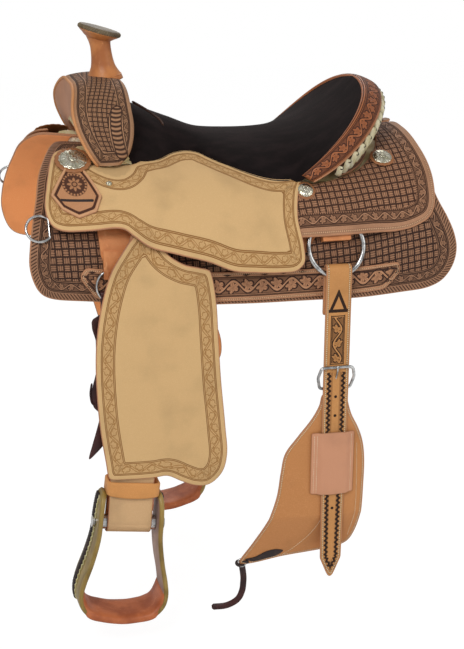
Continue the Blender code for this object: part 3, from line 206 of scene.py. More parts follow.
class Finish:
    """A material under construction."""

    def __init__(self, name, rough=0.6, metal=0.0, **plain):
        self.mat = bpy.data.materials.new(name)
        self.mat.use_nodes = True
        self.tree = self.mat.node_tree
        self.shader = self.tree.nodes["Principled BSDF"].inputs
        plain = {key.replace("_", " "): value for key, value in plain.items()}
        feed(self.tree, self.shader, {"Roughness": rough, "Metallic": metal, **plain})
        self.place = node(self.tree, "TexCoord", {}).outputs["Object"]

    def uv(self, layer):
        place = node(self.tree, "UVMap", {}, uv_map=layer).outputs[0]
        split = node(self.tree, "SeparateXYZ", {0: place})
        return Num(self.tree, split.outputs[0]), Num(self.tree, split.outputs[1])

    def noise(self, scale, detail=2.0, stretch=None, distortion=0.0):
        place = self.place
        if stretch:
            place = node(self.tree, "VectorMath", {0: place, 1: stretch}, operation="MULTIPLY").outputs[0]
        values = {"Vector": place, "Scale": scale, "Detail": detail, "Distortion": distortion}
        return Num(self.tree, node(self.tree, "TexNoise", values).outputs[0])

    def cells(self, scale):
        made = node(self.tree, "TexVoronoi", {"Vector": self.place, "Scale": scale})
        return Num(self.tree, made.outputs["Distance"])

    def blend(self, share, first, second):
        """Colour between two colours, each a screen colour or a socket."""
        first, second = (c if is_socket(c) else srgb(*c) for c in (first, second))
        return node(self.tree, "Mix", {0: share.socket, 6: first, 7: second}, data_type="RGBA").outputs[2]

    def done(self, colour, height, depth, strength, rough=None):
        values = {"Height": height.socket, "Strength": strength, "Distance": depth}
        bump = node(self.tree, "Bump", values).outputs[0]
        feed(self.tree, self.shader, {"Base Color": colour, "Normal": bump})
        if rough:
            feed(self.tree, self.shader, {"Roughness": rough.socket})
        return self.mat


def weave(u, v, cell):
    """Basket stamping: strips passing over each other by turns, three ribs to a strip."""
    a, b = u / cell, v / cell
    i, j = a.floor(), b.floor()
    odd = (i + j).wrap(2.0)
    fa, fb = a - i - 0.5, b - j - 0.5
    across = fa.toward(odd, fb)
    along = fb.toward(odd, fa)
    ribs = (across * (3 * TAU)).cos() * 0.32 + 0.68
    return abs(along).below(0.22, 0.53) * abs(across).below(0.32, 0.47) * ribs


def scroll(along, across, pitch, half, drawn=False):
    """Winding stem with a leaf in each bend; across runs from -1 to 1."""
    p = along * (2 / pitch)
    k = p.floor()
    f = p - k - 0.5
    y = across * (1 - k.wrap(2.0) * 2)
    stem_away = abs(y + (f * pi).cos() * 0.66)
    dx = (f + y * 0.16) * (pitch / 2 / half)
    dy = y - 0.16
    turn = dy.angle(dx)
    leaf_away = (dx * dx + dy * dy).root() - (abs((turn * 2.5 + 0.5).sin()) * 0.34 + 0.46)
    cuts = stem_away.near(0.25, 0.03, 0.13).most(leaf_away.near(0.07, 0.04, 0.13))
    field = abs(across).below(0.9, 1.0)
    if drawn:
        return 1 - cuts * field * 0.8
    veins = (turn * 11.0).cos() * 0.24 + 0.76
    ground = (1 - cuts) * 0.42
    return ground.most(stem_away.below(0.1, 0.2)).most(leaf_away.below(-0.1, 0.02) * veins) * field


SOFT = 0.0003
ROPE_PITCH = 0.0056
BEAD_PITCH = 0.004
DRAWN_TONE = (176, 130, 76)
# The first factor makes the painted highlight paler than the base; the second gives the darker tone of the
# mottling and the worn edge.
HIGHLIGHT_PALER, DARKER = 1.12, 0.74


def leather(name, base, dark, light=None, margin=None, lines=(), rope=None, border=None, strip=None,
            cell=None, stitch=None, beads=None, drawn=False, nap=0.3, rough=0.6, depth=0.0011,
            mottle=0.16, pitch=0.034, extra=None, turn=0.0):
    """Leather with tooling placed by distance from its edge."""
    f = Finish(name, rough, Specular_IOR_Level=0.35)
    u, v = f.uv("flat")
    along, d = f.uv("edge")
    relief = f.noise(60.0, 3.0) * 0.04 + 0.96
    if cell:
        c, s = cos(turn), sin(turn)
        woven = weave(u * c + v * s, v * c - u * s, cell)
        relief = relief.toward(d.step(margin - 0.0004, margin + 0.0004), woven)
    if border:
        middle, half = sum(border) / 2, (border[1] - border[0]) / 2
        pattern = scroll(along, (d - middle) / half, pitch, half, drawn)
        relief = relief.toward(d.near(middle, half - SOFT, half + SOFT), pattern)
    if strip:
        at, wide = strip
        relief = relief.toward(v.near(at, wide - SOFT, wide + SOFT), scroll(u, (v - at) / wide, pitch, wide))
    if rope:
        wide = (rope[1] - rope[0]) / 2
        slant = ((along + d * 0.75) * (TAU / ROPE_PITCH)).wave()
        relief = relief.toward(d.near(sum(rope) / 2, wide - 0.0012, wide), slant * 0.78 + 0.22)
    for at in lines:
        relief = relief * (1 - d.near(at, SOFT, 0.001))
    if beads:
        relief = relief.toward(d.near(beads, 0.0007, 0.0014), (along * (TAU / BEAD_PITCH)).wave() * 0.8)
    if extra:
        relief = extra(relief, u, v, along, d)
    fine = f.noise(700.0, 3.0)
    cloud = f.noise(14.0, 4.0)
    # Dark in the tooled recesses, base colour on the surface: partly the stamped leather's own darker tone,
    # partly painted shade in the recesses.
    tone = relief.step(0.12, 0.8)
    colour = f.blend(tone, dark, base)
    if drawn:
        colour = f.blend(d.near(middle, half, half + 2 * SOFT) * 0.55, colour, DRAWN_TONE)
    pale = light or tuple(min(255, int(c * HIGHLIGHT_PALER)) for c in base)
    shade = tuple(int(c * DARKER) for c in base)
    # Painted highlight: the colour is drawn toward pale on raised tooling and flat surfaces, broken up by
    # fine grain.
    colour = f.blend(relief.step(0.8, 1.0) * (fine.step(0.45, 0.75) * 0.5 + 0.15), colour, pale)
    colour = f.blend((1 - cloud).step(0.44, 0.74) * mottle * 2.2 * (tone * 0.8 + 0.2), colour, shade)
    colour = f.blend(d.below(0.0, 0.0016) * 0.35, colour, shade)
    height = relief + fine * (0.05 + 0.12 * nap) + cloud * 0.25
    if stitch:
        at, length, thread = stitch
        mask = d.near(at, 0.0005, 0.001) * (along * (TAU / length)).cos().step(-0.35, 0.15)
        groove = d.near(at, 0.001, 0.002)
        # The groove beside the stitches is drawn toward the dark colour: partly its own tone, partly painted
        # shade.
        colour = f.blend(mask, f.blend(groove * 0.3, colour, dark), thread)
        height = height - groove * 0.35 + mask * 0.6
    return f.done(colour, height, depth, 0.75, (1 - tone) * 0.25 + fine * 0.12 + (rough - 0.06))


def rough_out(name, **marks):
    return leather(name, (209, 170, 117), (142, 98, 52), (221, 186, 136), drawn=True, nap=1.0, rough=0.85,
                   depth=0.0006, mottle=0.14, **marks)


def plate_marks(relief, u, v, along, d):
    """Dark lozenges in a row above the scroll."""
    pitch = 0.032
    a = ((u / pitch).wrap(1.0) - 0.5) * pitch
    lozenge = (abs(a) / 0.0075 + abs(v - 0.289) / 0.0022).below(0.85, 1.05)
    return relief * (1 - lozenge)


def billet_marks(relief, u, v, along, d):
    """Laced triangle, leafy panel, scalloped rows and holes along the billet; the holes are dark dimples of
    painted shade.
    """
    middle, half, hole_pitch = 0.11, 0.0098, 0.0342
    low = v.step(0.166, 0.168)
    scallops = (d + (along * (TAU / 0.0088)).cos() * 0.0016).near(0.01, 0.0019, 0.0033)
    relief = relief * (1 - scallops * low * 0.9)
    relief = relief * (1 - u.within(half, 0.0112) * low * (1 - u.within(0.005, 0.0066)) * 0.45)
    panel_mask = v.near(middle, 0.04, 0.0407) * u.within(half, 0.0106)
    relief = relief.toward(panel_mask, scroll(v, u / half, 0.052, half))
    frame_line = (abs(u) - 0.0115).near(0.0, 0.0004, 0.001) * v.near(middle, 0.0435, 0.0439)
    ends = (abs(v - middle) - 0.0423).near(0.0, 0.0004, 0.001) * u.within(0.0115, 0.0119)
    relief = relief * (1 - frame_line.most(ends))
    # Holes drawn as dark dimples: painted shade where there are openings.
    hole_shade = (((v - 0.194) / hole_pitch).wrap(1.0) - 0.5) * hole_pitch
    hole_shade = (hole_shade * hole_shade + u * u).root().below(0.0022, 0.0029)
    relief = relief * (1 - hole_shade * v.near(0.314, 0.112, 0.113))
    sides = (abs(u) - (v - 0.022) * 0.42).near(-0.002, 0.0025, 0.0032) * v.near(0.041, 0.019, 0.0196)
    foot = v.near(0.0586, 0.0024, 0.003) * abs(u).below(0.0162, 0.017)
    return relief * (1 - sides.most(foot))


def fork_marks(relief, u, v, along, d):
    """Row of nested crescents beside the seat, on each side of the fork."""
    a = (abs(u) - 0.161) / 0.044
    b = (v - 0.0734 + (abs(u) - 0.118) * 0.285) / 0.012
    reach = a * a * a * a + b * b
    arcs = (((abs(u) / 0.0074).wrap(1.0) + b * b * 0.55) * TAU).wave()
    crescents = arcs * abs(b).below(0.6, 0.75) + abs(b).step(0.78, 0.85)
    return relief.toward(reach.below(0.92, 1.0), crescents) * (1 - reach.near(1.06, 0.07, 0.14))


def plaque_marks(relief, u, v, along, d):
    """Stamped flower in a ring of beads above the slit."""
    x, y = u + 0.2905, v - 0.1675
    r = (x * x + y * y).root() / 0.02
    turn = y.angle(x)
    beads = (turn * 22.0).wave() * r.near(0.9, 0.06, 0.1)
    petals = (r - abs((turn * 4.0).cos()) * 0.34 - 0.3).below(-0.1, 0.02)
    flower = beads.most(petals * (1 - r.near(0.2, 0.03, 0.06)) * ((turn * 24.0).cos() * 0.2 + 0.8))
    return relief.toward(r.below(0.98, 1.04), flower * 0.65 + 0.18)


def suede():
    f = Finish("black_suede", 0.92, Sheen_Weight=0.14, Sheen_Roughness=0.45, Sheen_Tint=srgb(120, 96, 92),
               Specular_IOR_Level=0.12)
    fine = f.noise(1100.0, 3.0)
    brushed = f.noise(26.0, 4.0, (1.0, 2.2, 1.0))
    colour = f.blend(brushed.step(0.38, 0.7), (17, 12, 12), (29, 21, 21))
    colour = f.blend(fine.step(0.45, 0.8) * 0.4, colour, (38, 30, 29))
    return f.done(colour, fine * 0.7 + brushed * 0.5, 0.0006, 0.5)


def wool():
    f = Finish("fleece_wool", 1.0, Sheen_Weight=0.3, Sheen_Roughness=0.6, Specular_IOR_Level=0.05)
    curl = f.cells(210.0)
    tuft = f.noise(75.0, 3.0, None, 1.2)
    colour = f.blend(curl.step(0.05, 0.75), (236, 226, 204), (196, 180, 150))
    colour = f.blend(tuft.step(0.42, 0.7) * 0.6, colour, (212, 196, 164))
    return f.done(colour, tuft + (1 - curl) * 0.8, 0.0035, 0.8)


def hide(name, pale, dark, stain, scale=42.0, rough=0.5):
    """Rawhide: translucent colour that gathers in streaks and stains."""
    f = Finish(name, rough, Subsurface_Weight=0.04)
    streak = f.noise(scale, 4.0, (1.0, 1.0, 0.28), 0.8)
    cloud = f.noise(scale * 0.35, 3.0)
    colour = f.blend(cloud.step(0.5, 0.72) * 0.75, f.blend(streak.step(0.36, 0.66), pale, dark), stain)
    height = streak * 0.8 + f.noise(520.0, 2.0) * 0.15
    return f.done(colour, height, 0.0009, 0.6, streak * 0.25 + (rough - 0.12))


def metal(name, bright, dull, rough, engraved=False):
    f = Finish(name, rough, 1.0)
    scratch = f.noise(240.0, 3.0, (1.0, 1.0, 0.15))
    colour = f.blend(f.noise(90.0, 3.0).step(0.4, 0.7), bright, dull)
    height = scratch * 0.2
    if engraved:
        x, y = f.uv("flat")
        r = (x * x + y * y).root()
        a = y.angle(x)
        petals = (a * 8.0).wave()
        rays = petals * r.near(0.6, 0.16, 0.24) * petals.below(0.9, 1.0)
        ring = r.near(0.3, 0.02, 0.06).most(r.near(0.86, 0.02, 0.05))
        hub = (a * 5.0 + r * 9.0).cos().step(0.0, 0.4) * r.below(0.2, 0.28)
        cut = ring.most(rays).most(hub)
        colour = f.blend(cut * 0.55, colour, (112, 104, 82))
        height = height - cut * 0.9
    return f.done(colour, height, 0.0005, 0.7, scratch * 0.18 + (rough - 0.08))


def oiled(name, base, dark, pale, rough=0.5):
    """Dark soft strap leather: creased, and paler along the creases."""
    f = Finish(name, rough, Specular_IOR_Level=0.4)
    crease = f.noise(120.0, 4.0, (1.0, 1.0, 0.45), 1.0)
    cloud = f.noise(30.0, 3.0)
    colour = f.blend(crease.step(0.58, 0.8) * 0.7, f.blend(cloud.step(0.36, 0.68), base, dark), pale)
    return f.done(colour, crease * 0.8 + f.cells(900.0) * 0.3, 0.0007, 0.6, cloud * 0.2 + (rough - 0.1))


THREAD = (232, 214, 180)
ROUGH_JOCKEY = rough_out("rough_jockey", lines=(0.007, 0.0088, 0.0228, 0.0246), border=(0.0096, 0.022),
                         pitch=0.036)
ROUGH_FENDER = rough_out("rough_fender", lines=(0.0088, 0.0108, 0.029, 0.0312), border=(0.0118, 0.0282),
                         pitch=0.044)
SKIRT_LEATHER = leather("skirt_leather", (150, 107, 78), (50, 29, 20), (186, 143, 110), margin=0.0338,
                        lines=(0.014, 0.016, 0.0305, 0.0328), rope=(0.0016, 0.0125), border=(0.0168, 0.0298),
                        cell=0.0112, turn=radians(-4))
BACK_LEATHER = leather("back_jockey_leather", (163, 116, 84), (62, 36, 24), (197, 152, 118), margin=0.033,
                       lines=(0.0122, 0.0142, 0.0302), border=(0.015, 0.0294), cell=0.0114, pitch=0.036,
                       beads=0.0318, stitch=(0.0046, 0.0033, (214, 170, 130)), turn=radians(-3))
PLATE_LEATHER = leather("plate_leather", (176, 124, 88), (52, 30, 22), (206, 158, 120),
                        lines=(0.0085, 0.0102), strip=(0.3085, 0.0135), pitch=0.05,
                        stitch=(0.0038, 0.0033, (222, 180, 140)), extra=plate_marks)
PLAIN = leather("plain_leather", (188, 124, 70), (120, 72, 40), (214, 154, 100),
                stitch=(0.0036, 0.0032, THREAD))
BARE = leather("bare_leather", (200, 138, 88), (120, 72, 40), (214, 154, 100))
SLEEVE = leather("sleeve_leather", (206, 166, 120), (140, 98, 60), (218, 182, 138), nap=0.8, rough=0.75)
HOBBLE = leather("hobble_leather", (208, 142, 78), (128, 78, 40), (224, 164, 100))
CUT_EDGE = leather("cut_edge", (186, 132, 96), (120, 74, 50), rough=0.7)
FLESH = leather("flesh_side", (238, 152, 92), (184, 108, 62), (246, 176, 116), nap=1.0, rough=0.85)
PINK = leather("keeper_leather", (203, 143, 108), (140, 92, 66), (214, 160, 128))
BILLET = leather("billet_leather", (194, 134, 76), (46, 28, 18), (212, 158, 98),
                 stitch=(0.0042, 0.0034, THREAD), extra=billet_marks)
FORK_LEATHER = leather("fork_leather", (160, 116, 82), (56, 34, 24), (198, 154, 116), margin=0.0232,
                       lines=(0.0078, 0.0094, 0.0212), border=(0.01, 0.0204), cell=0.008, pitch=0.03,
                       extra=fork_marks, turn=radians(8))
FORK_PLAIN = leather("fork_plain", (196, 138, 104), (120, 76, 52), (212, 160, 126))
BINDING = leather("binding_leather", (158, 90, 50), (58, 26, 14), (186, 118, 72),
                  lines=(0.0105, 0.0125, 0.035, 0.0372, 0.041), border=(0.0136, 0.034), pitch=0.04,
                  rough=0.45)
CANTLE_LEATHER = leather("cantle_leather", (140, 96, 68), (52, 30, 20), (176, 130, 98), margin=0.02,
                         lines=(0.005, 0.007, 0.0182), border=(0.0078, 0.0174), cell=0.009, rough=0.5)
PLAQUE = leather("plaque_leather", (178, 124, 84), (74, 42, 28), (200, 148, 104),
                 lines=(0.0056, 0.0068, 0.008), extra=plaque_marks)
PLAQUE_RIM = leather("plaque_rim", (200, 148, 106), (120, 76, 48), (218, 170, 128))
ROSETTE = leather("rosette_leather", (150, 98, 60), (70, 40, 24), rough=0.5)
SUEDE = suede()
WOOL = wool()
TREE_HIDE = hide("tree_rawhide", (214, 196, 150), (188, 164, 112), (160, 130, 84))
STIRRUP_HIDE = hide("stirrup_rawhide", (146, 120, 56), (112, 90, 34), (166, 140, 76), 46.0, 0.42)
LINING = hide("stirrup_lining", (158, 130, 118), (134, 106, 96), (176, 148, 132), 30.0, 0.6)
LACE_HIDE = hide("lace_rawhide", (216, 206, 172), (176, 162, 122), (232, 226, 206), 90.0, 0.35)
CREAM_LACE = hide("cream_edge", (214, 204, 156), (182, 168, 112), (226, 218, 180), 160.0, 0.55)
THREAD_HIDE = hide("waxed_thread", (236, 220, 188), (206, 186, 148), (244, 232, 206), 300.0, 0.6)
STEEL = metal("polished_steel", (214, 214, 212), (150, 150, 150), 0.26)
SILVER = metal("engraved_silver", (238, 234, 214), (204, 198, 168), 0.26, True)
LATIGO = oiled("latigo_burgundy", (66, 28, 26), (40, 16, 16), (104, 54, 46), 0.48)
DARK_LACE = oiled("dark_lace", (44, 28, 24), (26, 16, 15), (78, 54, 44), 0.5)
STRING = oiled("saddle_string", (70, 44, 32), (44, 26, 20), (120, 84, 62), 0.55)
TREAD = oiled("tread_leather", (188, 106, 62), (158, 82, 46), (206, 132, 88), 0.45)
HORN_LEATHER = oiled("horn_leather", (196, 126, 70), (168, 100, 54), (214, 150, 94), 0.42)
CAP_LEATHER = oiled("horn_cap_leather", (122, 106, 80), (88, 72, 52), (164, 146, 112), 0.5)
RIG_HIDE = oiled("rigging_leather", (206, 134, 82), (176, 106, 60), (220, 156, 104), 0.5)


def mm(*values, each=2):
    """Points from a run of millimetres."""
    metres = [v / 1000 for v in values]
    return [tuple(metres[i:i + each]) for i in range(0, len(metres), each)]


def turns(count, start=0.0):
    """Angles at equal steps round a circle."""
    return [TAU * (k + start) / count for k in range(count)]


def boxy(wave, power):
    """A sine or cosine whose curve is fuller at power below 1."""
    return copysign(abs(wave) ** power, wave)


def ramp(x, xs, ys):
    """Straight runs through the points, level beyond the ends."""
    return float(np.interp(x, xs, ys))


def unit(rows):
    return rows / np.linalg.norm(rows, axis=1)[:, None]


def run_of(points):
    """Length along a line at each of its points."""
    return np.concatenate([[0], np.cumsum(np.linalg.norm(np.diff(points, axis=0), axis=1))])


def spline(points, closed=True, fine=12):
    """Smooth line through the points."""
    p = np.array(points, float)
    count = len(p)
    out = []
    for i in range(count if closed else count - 1):
        b, c = p[i], p[(i + 1) % count]
        a = p[i - 1] if closed or i else 2 * b - c
        d = p[(i + 2) % count] if closed or i + 2 < count else 2 * c - b
        t1 = np.linalg.norm(b - a) ** 0.5
        t2 = t1 + np.linalg.norm(c - b) ** 0.5
        t3 = t2 + np.linalg.norm(d - c) ** 0.5
        for k in range(fine):
            t = t1 + (t2 - t1) * k / fine
            a1 = a * (t1 - t) / t1 + b * t / t1
            a2 = b * (t2 - t) / (t2 - t1) + c * (t - t1) / (t2 - t1)
            a3 = c * (t3 - t) / (t3 - t2) + d * (t - t2) / (t3 - t2)
            b1 = a1 * (t2 - t) / t2 + a2 * t / t2
            b2 = a2 * (t3 - t) / (t3 - t1) + a3 * (t - t1) / (t3 - t1)
            out.append(b1 * (t2 - t) / (t2 - t1) + b2 * (t - t1) / (t2 - t1))
    if not closed:
        out.append(p[-1])
    return np.array(out)


def even(points, step, closed=True):
    """The same line with points at equal steps."""
    p = np.array(points, float)
    if closed:
        p = np.vstack([p, p[:1]])
    length = run_of(p)
    count = max(int(round(length[-1] / step)), 3)
    at = np.linspace(0, length[-1], count + 1)
    out = np.stack([np.interp(at, length, p[:, k]) for k in range(p.shape[1])], 1)
    return out[:-1] if closed else out


def outline(points, step=0.003):
    return even(spline(points), step)


def sweep(points, step):
    """Open smooth line with points at equal steps."""
    return even(spline(points, False), step, False)


def corners(points, step=0.003, steps=5):
    """Outline from (u, v, radius) corners with straight runs between them."""
    out = []
    count = len(points)
    for i, (u, v, r) in enumerate(points):
        here = Vector((u, v))
        back = Vector(points[i - 1][:2]) - here
        ahead = Vector(points[(i + 1) % count][:2]) - here
        reach = min(max(r, 0.0004) / tan(back.angle(ahead) / 2), 0.48 * back.length, 0.48 * ahead.length)
        start = here + back.normalized() * reach
        end = here + ahead.normalized() * reach
        for k in range(steps + 1):
            t = k / steps
            out.append(start * (1 - t) ** 2 + here * 2 * t * (1 - t) + end * t ** 2)
    return even([p[:] for p in out], step)


def curve(xs, ys):
    """Smooth function through (x, y) pairs."""
    line = spline(list(zip(xs, ys)), False)
    return lambda x: ramp(x, line[:, 0], line[:, 1])


def inset(line, d):
    """Closed line moved inwards by d."""
    ahead = unit(np.roll(line, -1, 0) - line)
    t = unit(ahead + np.roll(ahead, 1, 0))
    x, y = line[:, 0], line[:, 1]
    turn = np.sign(np.sum(x * np.roll(y, -1) - np.roll(x, -1) * y))
    normal = np.stack([-t[:, 1], t[:, 0]], 1) * turn
    stretch = np.maximum(np.abs(np.sum(t * ahead, axis=1)), 0.55)
    return line + normal * (d / stretch)[:, None]


def nearest(points, line):
    """Length along a closed line to the nearest place on it, the distance, and the line's length."""
    ab = np.roll(line, -1, 0) - line
    span = np.linalg.norm(ab, axis=1)
    start = np.concatenate([[0], np.cumsum(span)])[:-1]
    arcs, away = [], []
    for block in np.array_split(points, max(len(points) // 1500, 1)):
        ap = block[:, None] - line[None]
        t = np.clip((ap * ab).sum(2) / (span ** 2), 0, 1)
        gap = np.linalg.norm(ap - t[..., None] * ab, axis=2)
        k = gap.argmin(1)
        rows = np.arange(len(block))
        arcs.append(start[k] + t[rows, k] * span[k])
        away.append(gap[rows, k])
    return np.concatenate(arcs), np.concatenate(away), span.sum()


def inside(points, line):
    """Which points lie inside a closed line."""
    hits = np.zeros(len(points), bool)
    x, y = points[:, 0], points[:, 1]
    for (ax, ay), (bx, by) in zip(line, np.roll(line, -1, 0)):
        if ay != by:
            hits ^= ((ay > y) != (by > y)) & (x < (bx - ax) * (y - ay) / (by - ay) + ax)
    return hits


def linked(name, data):
    obj = bpy.data.objects.new(name, data)
    bpy.context.scene.collection.objects.link(obj)
    return obj


def new_object(name, bm, mats):
    bmesh.ops.recalc_face_normals(bm, faces=bm.faces)
    mesh = bpy.data.meshes.new(name)
    bm.to_mesh(mesh)
    bm.free()
    for mat in mats:
        mesh.materials.append(mat)
    mesh.shade_smooth()
    return linked(name, mesh)


def add(obj, body, slot, *nodes):
    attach(obj, body)
    if nodes:
        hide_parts(*nodes)
    return obj


def trim(obj, slot="strap_leather", *nodes):
    return add(obj, "saddle", slot, *nodes)


def panel(name, line, surface, thick, mats, cell=0.0065, guide=None):
    """Leather laid on surface(u, v, n) with a rounded edge, and its flat and edge UVs."""
    round_in = min(0.0016, thick * 0.45)
    rim = inset(line, round_in)
    shoulder = inset(line, round_in * 0.3)
    low, high = rim.min(0), rim.max(0)
    grid = []
    for i, v in enumerate(np.arange(low[1], high[1], cell * 0.866)):
        us = np.arange(low[0] + (i % 2) * cell / 2, high[0], cell)
        grid.append(np.stack([us, np.full(len(us), v)], 1))
    grid = np.vstack(grid)
    grid = grid[inside(grid, rim)]
    grid = grid[nearest(grid, rim)[1] > cell * 0.45]
    count = len(rim)
    loop = [(i, (i + 1) % count) for i in range(count)]
    source = [Vector(p) for p in np.vstack([rim, grid])]
    verts, _, faces, origin, _, _ = delaunay_2d_cdt(source, loop, [], 1, 1e-7)
    flat = np.array([v[:] for v in verts])
    ring = [0] * count
    for i, sources in enumerate(origin):
        for k in sources:
            if k < count:
                ring[k] = i
    rings = ((shoulder, 0.86), (line, 0.62), (line, 0.34), (shoulder, 0.1))
    places = np.vstack([flat] + [r for r, _ in rings])
    arc, away, total = nearest(places, line if guide is None else guide)
    if guide is not None:
        away = np.where(inside(places, guide), away, 0.0)
    bm = bmesh.new()
    layers = bm.loops.layers.uv.new("flat"), bm.loops.layers.uv.new("edge")
    facts = {}

    def vert(i, n):
        u, v = places[i]
        new = bm.verts.new(surface(u, v, n))
        facts[new] = (u, v, arc[i], away[i])
        return new

    tops = [vert(i, thick) for i in range(len(flat))]
    lows = [vert(i, 0.0) for i in range(len(flat))]
    bands = [[tops[i] for i in ring]]
    for k, (_, share) in enumerate(rings):
        start = len(flat) + k * count
        bands.append([vert(start + i, thick * share) for i in range(count)])
    bands.append([lows[i] for i in ring])
    made = []
    for face in faces:
        made.append((bm.faces.new([tops[i] for i in face]), 0))
        made.append((bm.faces.new([lows[i] for i in reversed(face)]), len(mats) - 1))
    for a, b in zip(bands, bands[1:]):
        for i, m in loop:
            made.append((bm.faces.new([a[i], b[i], b[m], a[m]]), min(1, len(mats) - 1)))
    for face, slot in made:
        face.material_index = slot
        arcs = [facts[l.vert][2] for l in face.loops]
        wraps = max(arcs) - min(arcs) > total / 2
        for corner in face.loops:
            u, v, along, d = facts[corner.vert]
            corner[layers[0]].uv = (u, v)
            corner[layers[1]].uv = (along + total if wraps and along < total / 2 else along, d)
    return new_object(name, bm, mats)


def loft(name, rows, mats, caps=True, closed=False, edge=None, slot=None, around=True):
    """Skin over rows of points; UVs run round the rows and along them."""
    rows = [[Vector(p) for p in row] for row in rows]
    size = len(rows[0])
    bm = bmesh.new()
    flat, side = bm.loops.layers.uv.new("flat"), bm.loops.layers.uv.new("edge")
    grid = [[bm.verts.new(p) for p in row] for row in rows]
    widths = []
    for row in rows:
        line = [0.0]
        for k in range(size):
            line.append(line[-1] + (row[(k + 1) % size] - row[k]).length)
        widths.append(line)
    run = [0.0]
    for a, b in zip(rows, rows[1:] + rows[:1]):
        run.append(run[-1] + sum((q - p).length for p, q in zip(a, b)) / size)
    for i in range(len(rows) if closed else len(rows) - 1):
        j = (i + 1) % len(rows)
        for k in range(size if around else size - 1):
            m = (k + 1) % size
            face = bm.faces.new([grid[i][k], grid[i][m], grid[j][m], grid[j][k]])
            for corner, (r, c) in zip(face.loops, ((i, k), (i, k + 1), (i + 1, k + 1), (i + 1, k))):
                width = widths[r % len(rows)][c]
                corner[flat].uv = (width, run[r])
                corner[side].uv = edge(r, c) if edge else (run[r], width)
            if slot:
                face.material_index = slot(i, k)
    if caps and not closed and around:
        for row in (grid[0], grid[-1]):
            middle = bm.verts.new(sum((v.co for v in row), Vector()) / size)
            for k in range(size):
                bm.faces.new([row[k], row[(k + 1) % size], middle])
    return new_object(name, bm, mats)


def sheet(name, rows, facts, mats, **options):
    """Open loft whose UVs come from facts: flat in the first two numbers, edge in the last two."""
    obj = loft(name, rows, mats, around=False, caps=False, edge=lambda i, k: facts[i][k][2:], **options)
    layer = obj.data.uv_layers["flat"]
    for corner in obj.data.loops:
        i, k = divmod(corner.vertex_index, len(facts[0]))
        layer.data[corner.index].uv = facts[i][k][:2]
    return obj


def tube(name, path, radius, mats, closed=False, sides=10, flat=1.0, lean=None):
    """Round or flattened bar along a path, its ends drawn in."""
    path = [Vector(p) for p in path]
    count = len(path)
    rows = []
    out = Vector((0.0, 1.0, 0.02))
    for i, p in enumerate(path):
        if closed:
            t = (path[(i + 1) % count] - path[i - 1]).normalized()
        else:
            t = (path[min(i + 1, count - 1)] - path[max(i - 1, 0)]).normalized()
        out = lean or out
        out = (out - t * out.dot(t)).normalized()
        across = t.cross(out)
        taper = 0.55 if not closed and i in (0, count - 1) else 1.0
        rows.append([p + (out * (radius * flat * cos(a)) + across * (radius * sin(a))) * taper
                     for a in turns(sides)])
    return loft(name, rows, mats, closed=closed)


def join(name, parts):
    """One object out of several that share their materials."""
    bm = bmesh.new()
    mats = list(parts[0].data.materials)
    for part in parts:
        bm.from_mesh(part.data)
        bpy.data.objects.remove(part, do_unlink=True)
    return new_object(name, bm, mats)


def lift(x):
    """Rise of the form along its length, toward the fork and the cantle."""
    return sum(ramp(v, LIFT_X, LIFT_Z) for v in (x - LIFT_SOFT, x, x + LIFT_SOFT)) / 3


def form(s, n):
    """(y, z) of the side form at height n."""
    if s <= ARC_END:
        a = s / BACK_R
        return (BACK_R + n) * sin(a), -BACK_R + (BACK_R + n) * cos(a)
    a = min(BACK_TURN + (s - ARC_END) / FLANK_R, pi / 2)
    y = FLANK_Y - FLANK_R + (FLANK_R + n) * sin(a)
    return y, FLANK_TOP_Z + (FLANK_R + n) * cos(a) - max(s - S_FLANK, 0.0)


def side_point(x, s, n, side):
    y, z = form(abs(s), n)
    return Vector((x, (side if s >= 0 else -side) * y, z + lift(x)))


def form_y(z, n):
    """Half width of the form at height n, where it passes level z."""
    rise = z - FLANK_TOP_Z
    if rise <= 0:
        return FLANK_Y + n
    if rise <= (FLANK_R + n) * cos(BACK_TURN):
        return FLANK_Y - FLANK_R + sqrt(max((FLANK_R + n) ** 2 - rise ** 2, 0))
    return sqrt(max((BACK_R + n) ** 2 - (z + BACK_R) ** 2, 0))


SWING = (Matrix.Translation((HANG_X, 0, PIVOT_Z)) @ Matrix.Rotation(-OFF_SWING, 4, "Y")
         @ Matrix.Translation((-HANG_X, 0, -PIVOT_Z)))


def carried(side):
    """The off leg's leathers are stored swung back."""
    return SWING if side > 0 else Matrix.Identity(4)


def hung(base, side):
    """Surface of the hanging leathers at height base."""
    swing = carried(side)

    def place(x, z, n):
        r = hypot(x - HANG_X, z - PIVOT_Z)
        return swing @ Vector((x, side * form_y(HANG_Z - r, base + n), z))
    return place


def laid(low, side):
    """Surface of a layer whose underside is at height low(x, s)."""
    height = low if callable(low) else (lambda x, s: low)
    return lambda x, s, n: side_point(x, s, height(x, s) + n, side)


def softened(height, reach=0.009):
    """Height function with its bends rounded."""
    steps = (-reach, 0.0, reach)
    return lambda x, s: sum(height(x + a, s + b) for a in steps for b in steps) / 9


@softened
def jockey_low(x, s):
    base = np.interp(s, S_ROWS[3:7], (JOCKEY_BASE, 0.0275, 0.032, 0.0358))
    zone = np.interp(x, (-0.3, -0.235, -0.03, 0.05), (0.0, 1.0, 1.0, 0.0))
    return float(base + 0.0105 * zone * np.interp(s, (S_ROWS[3], S_ROWS[5]), (0.0, 1.0)))


@softened
def back_low(x, s):
    ring = np.interp(s, S_ROWS[4:7], (JOCKEY_BASE, 0.0275, 0.0318))
    plain = np.interp(s, (S_ROWS[5], S_ROWS[7]), (JOCKEY_BASE, PLATE_LO))
    f = np.interp(x, (0.205, 0.262), (1.0, 0.0))
    return float(ring * f + plain * (1 - f))


def jockey_top(x, s):
    return jockey_low(x, s) + LEATHER_T


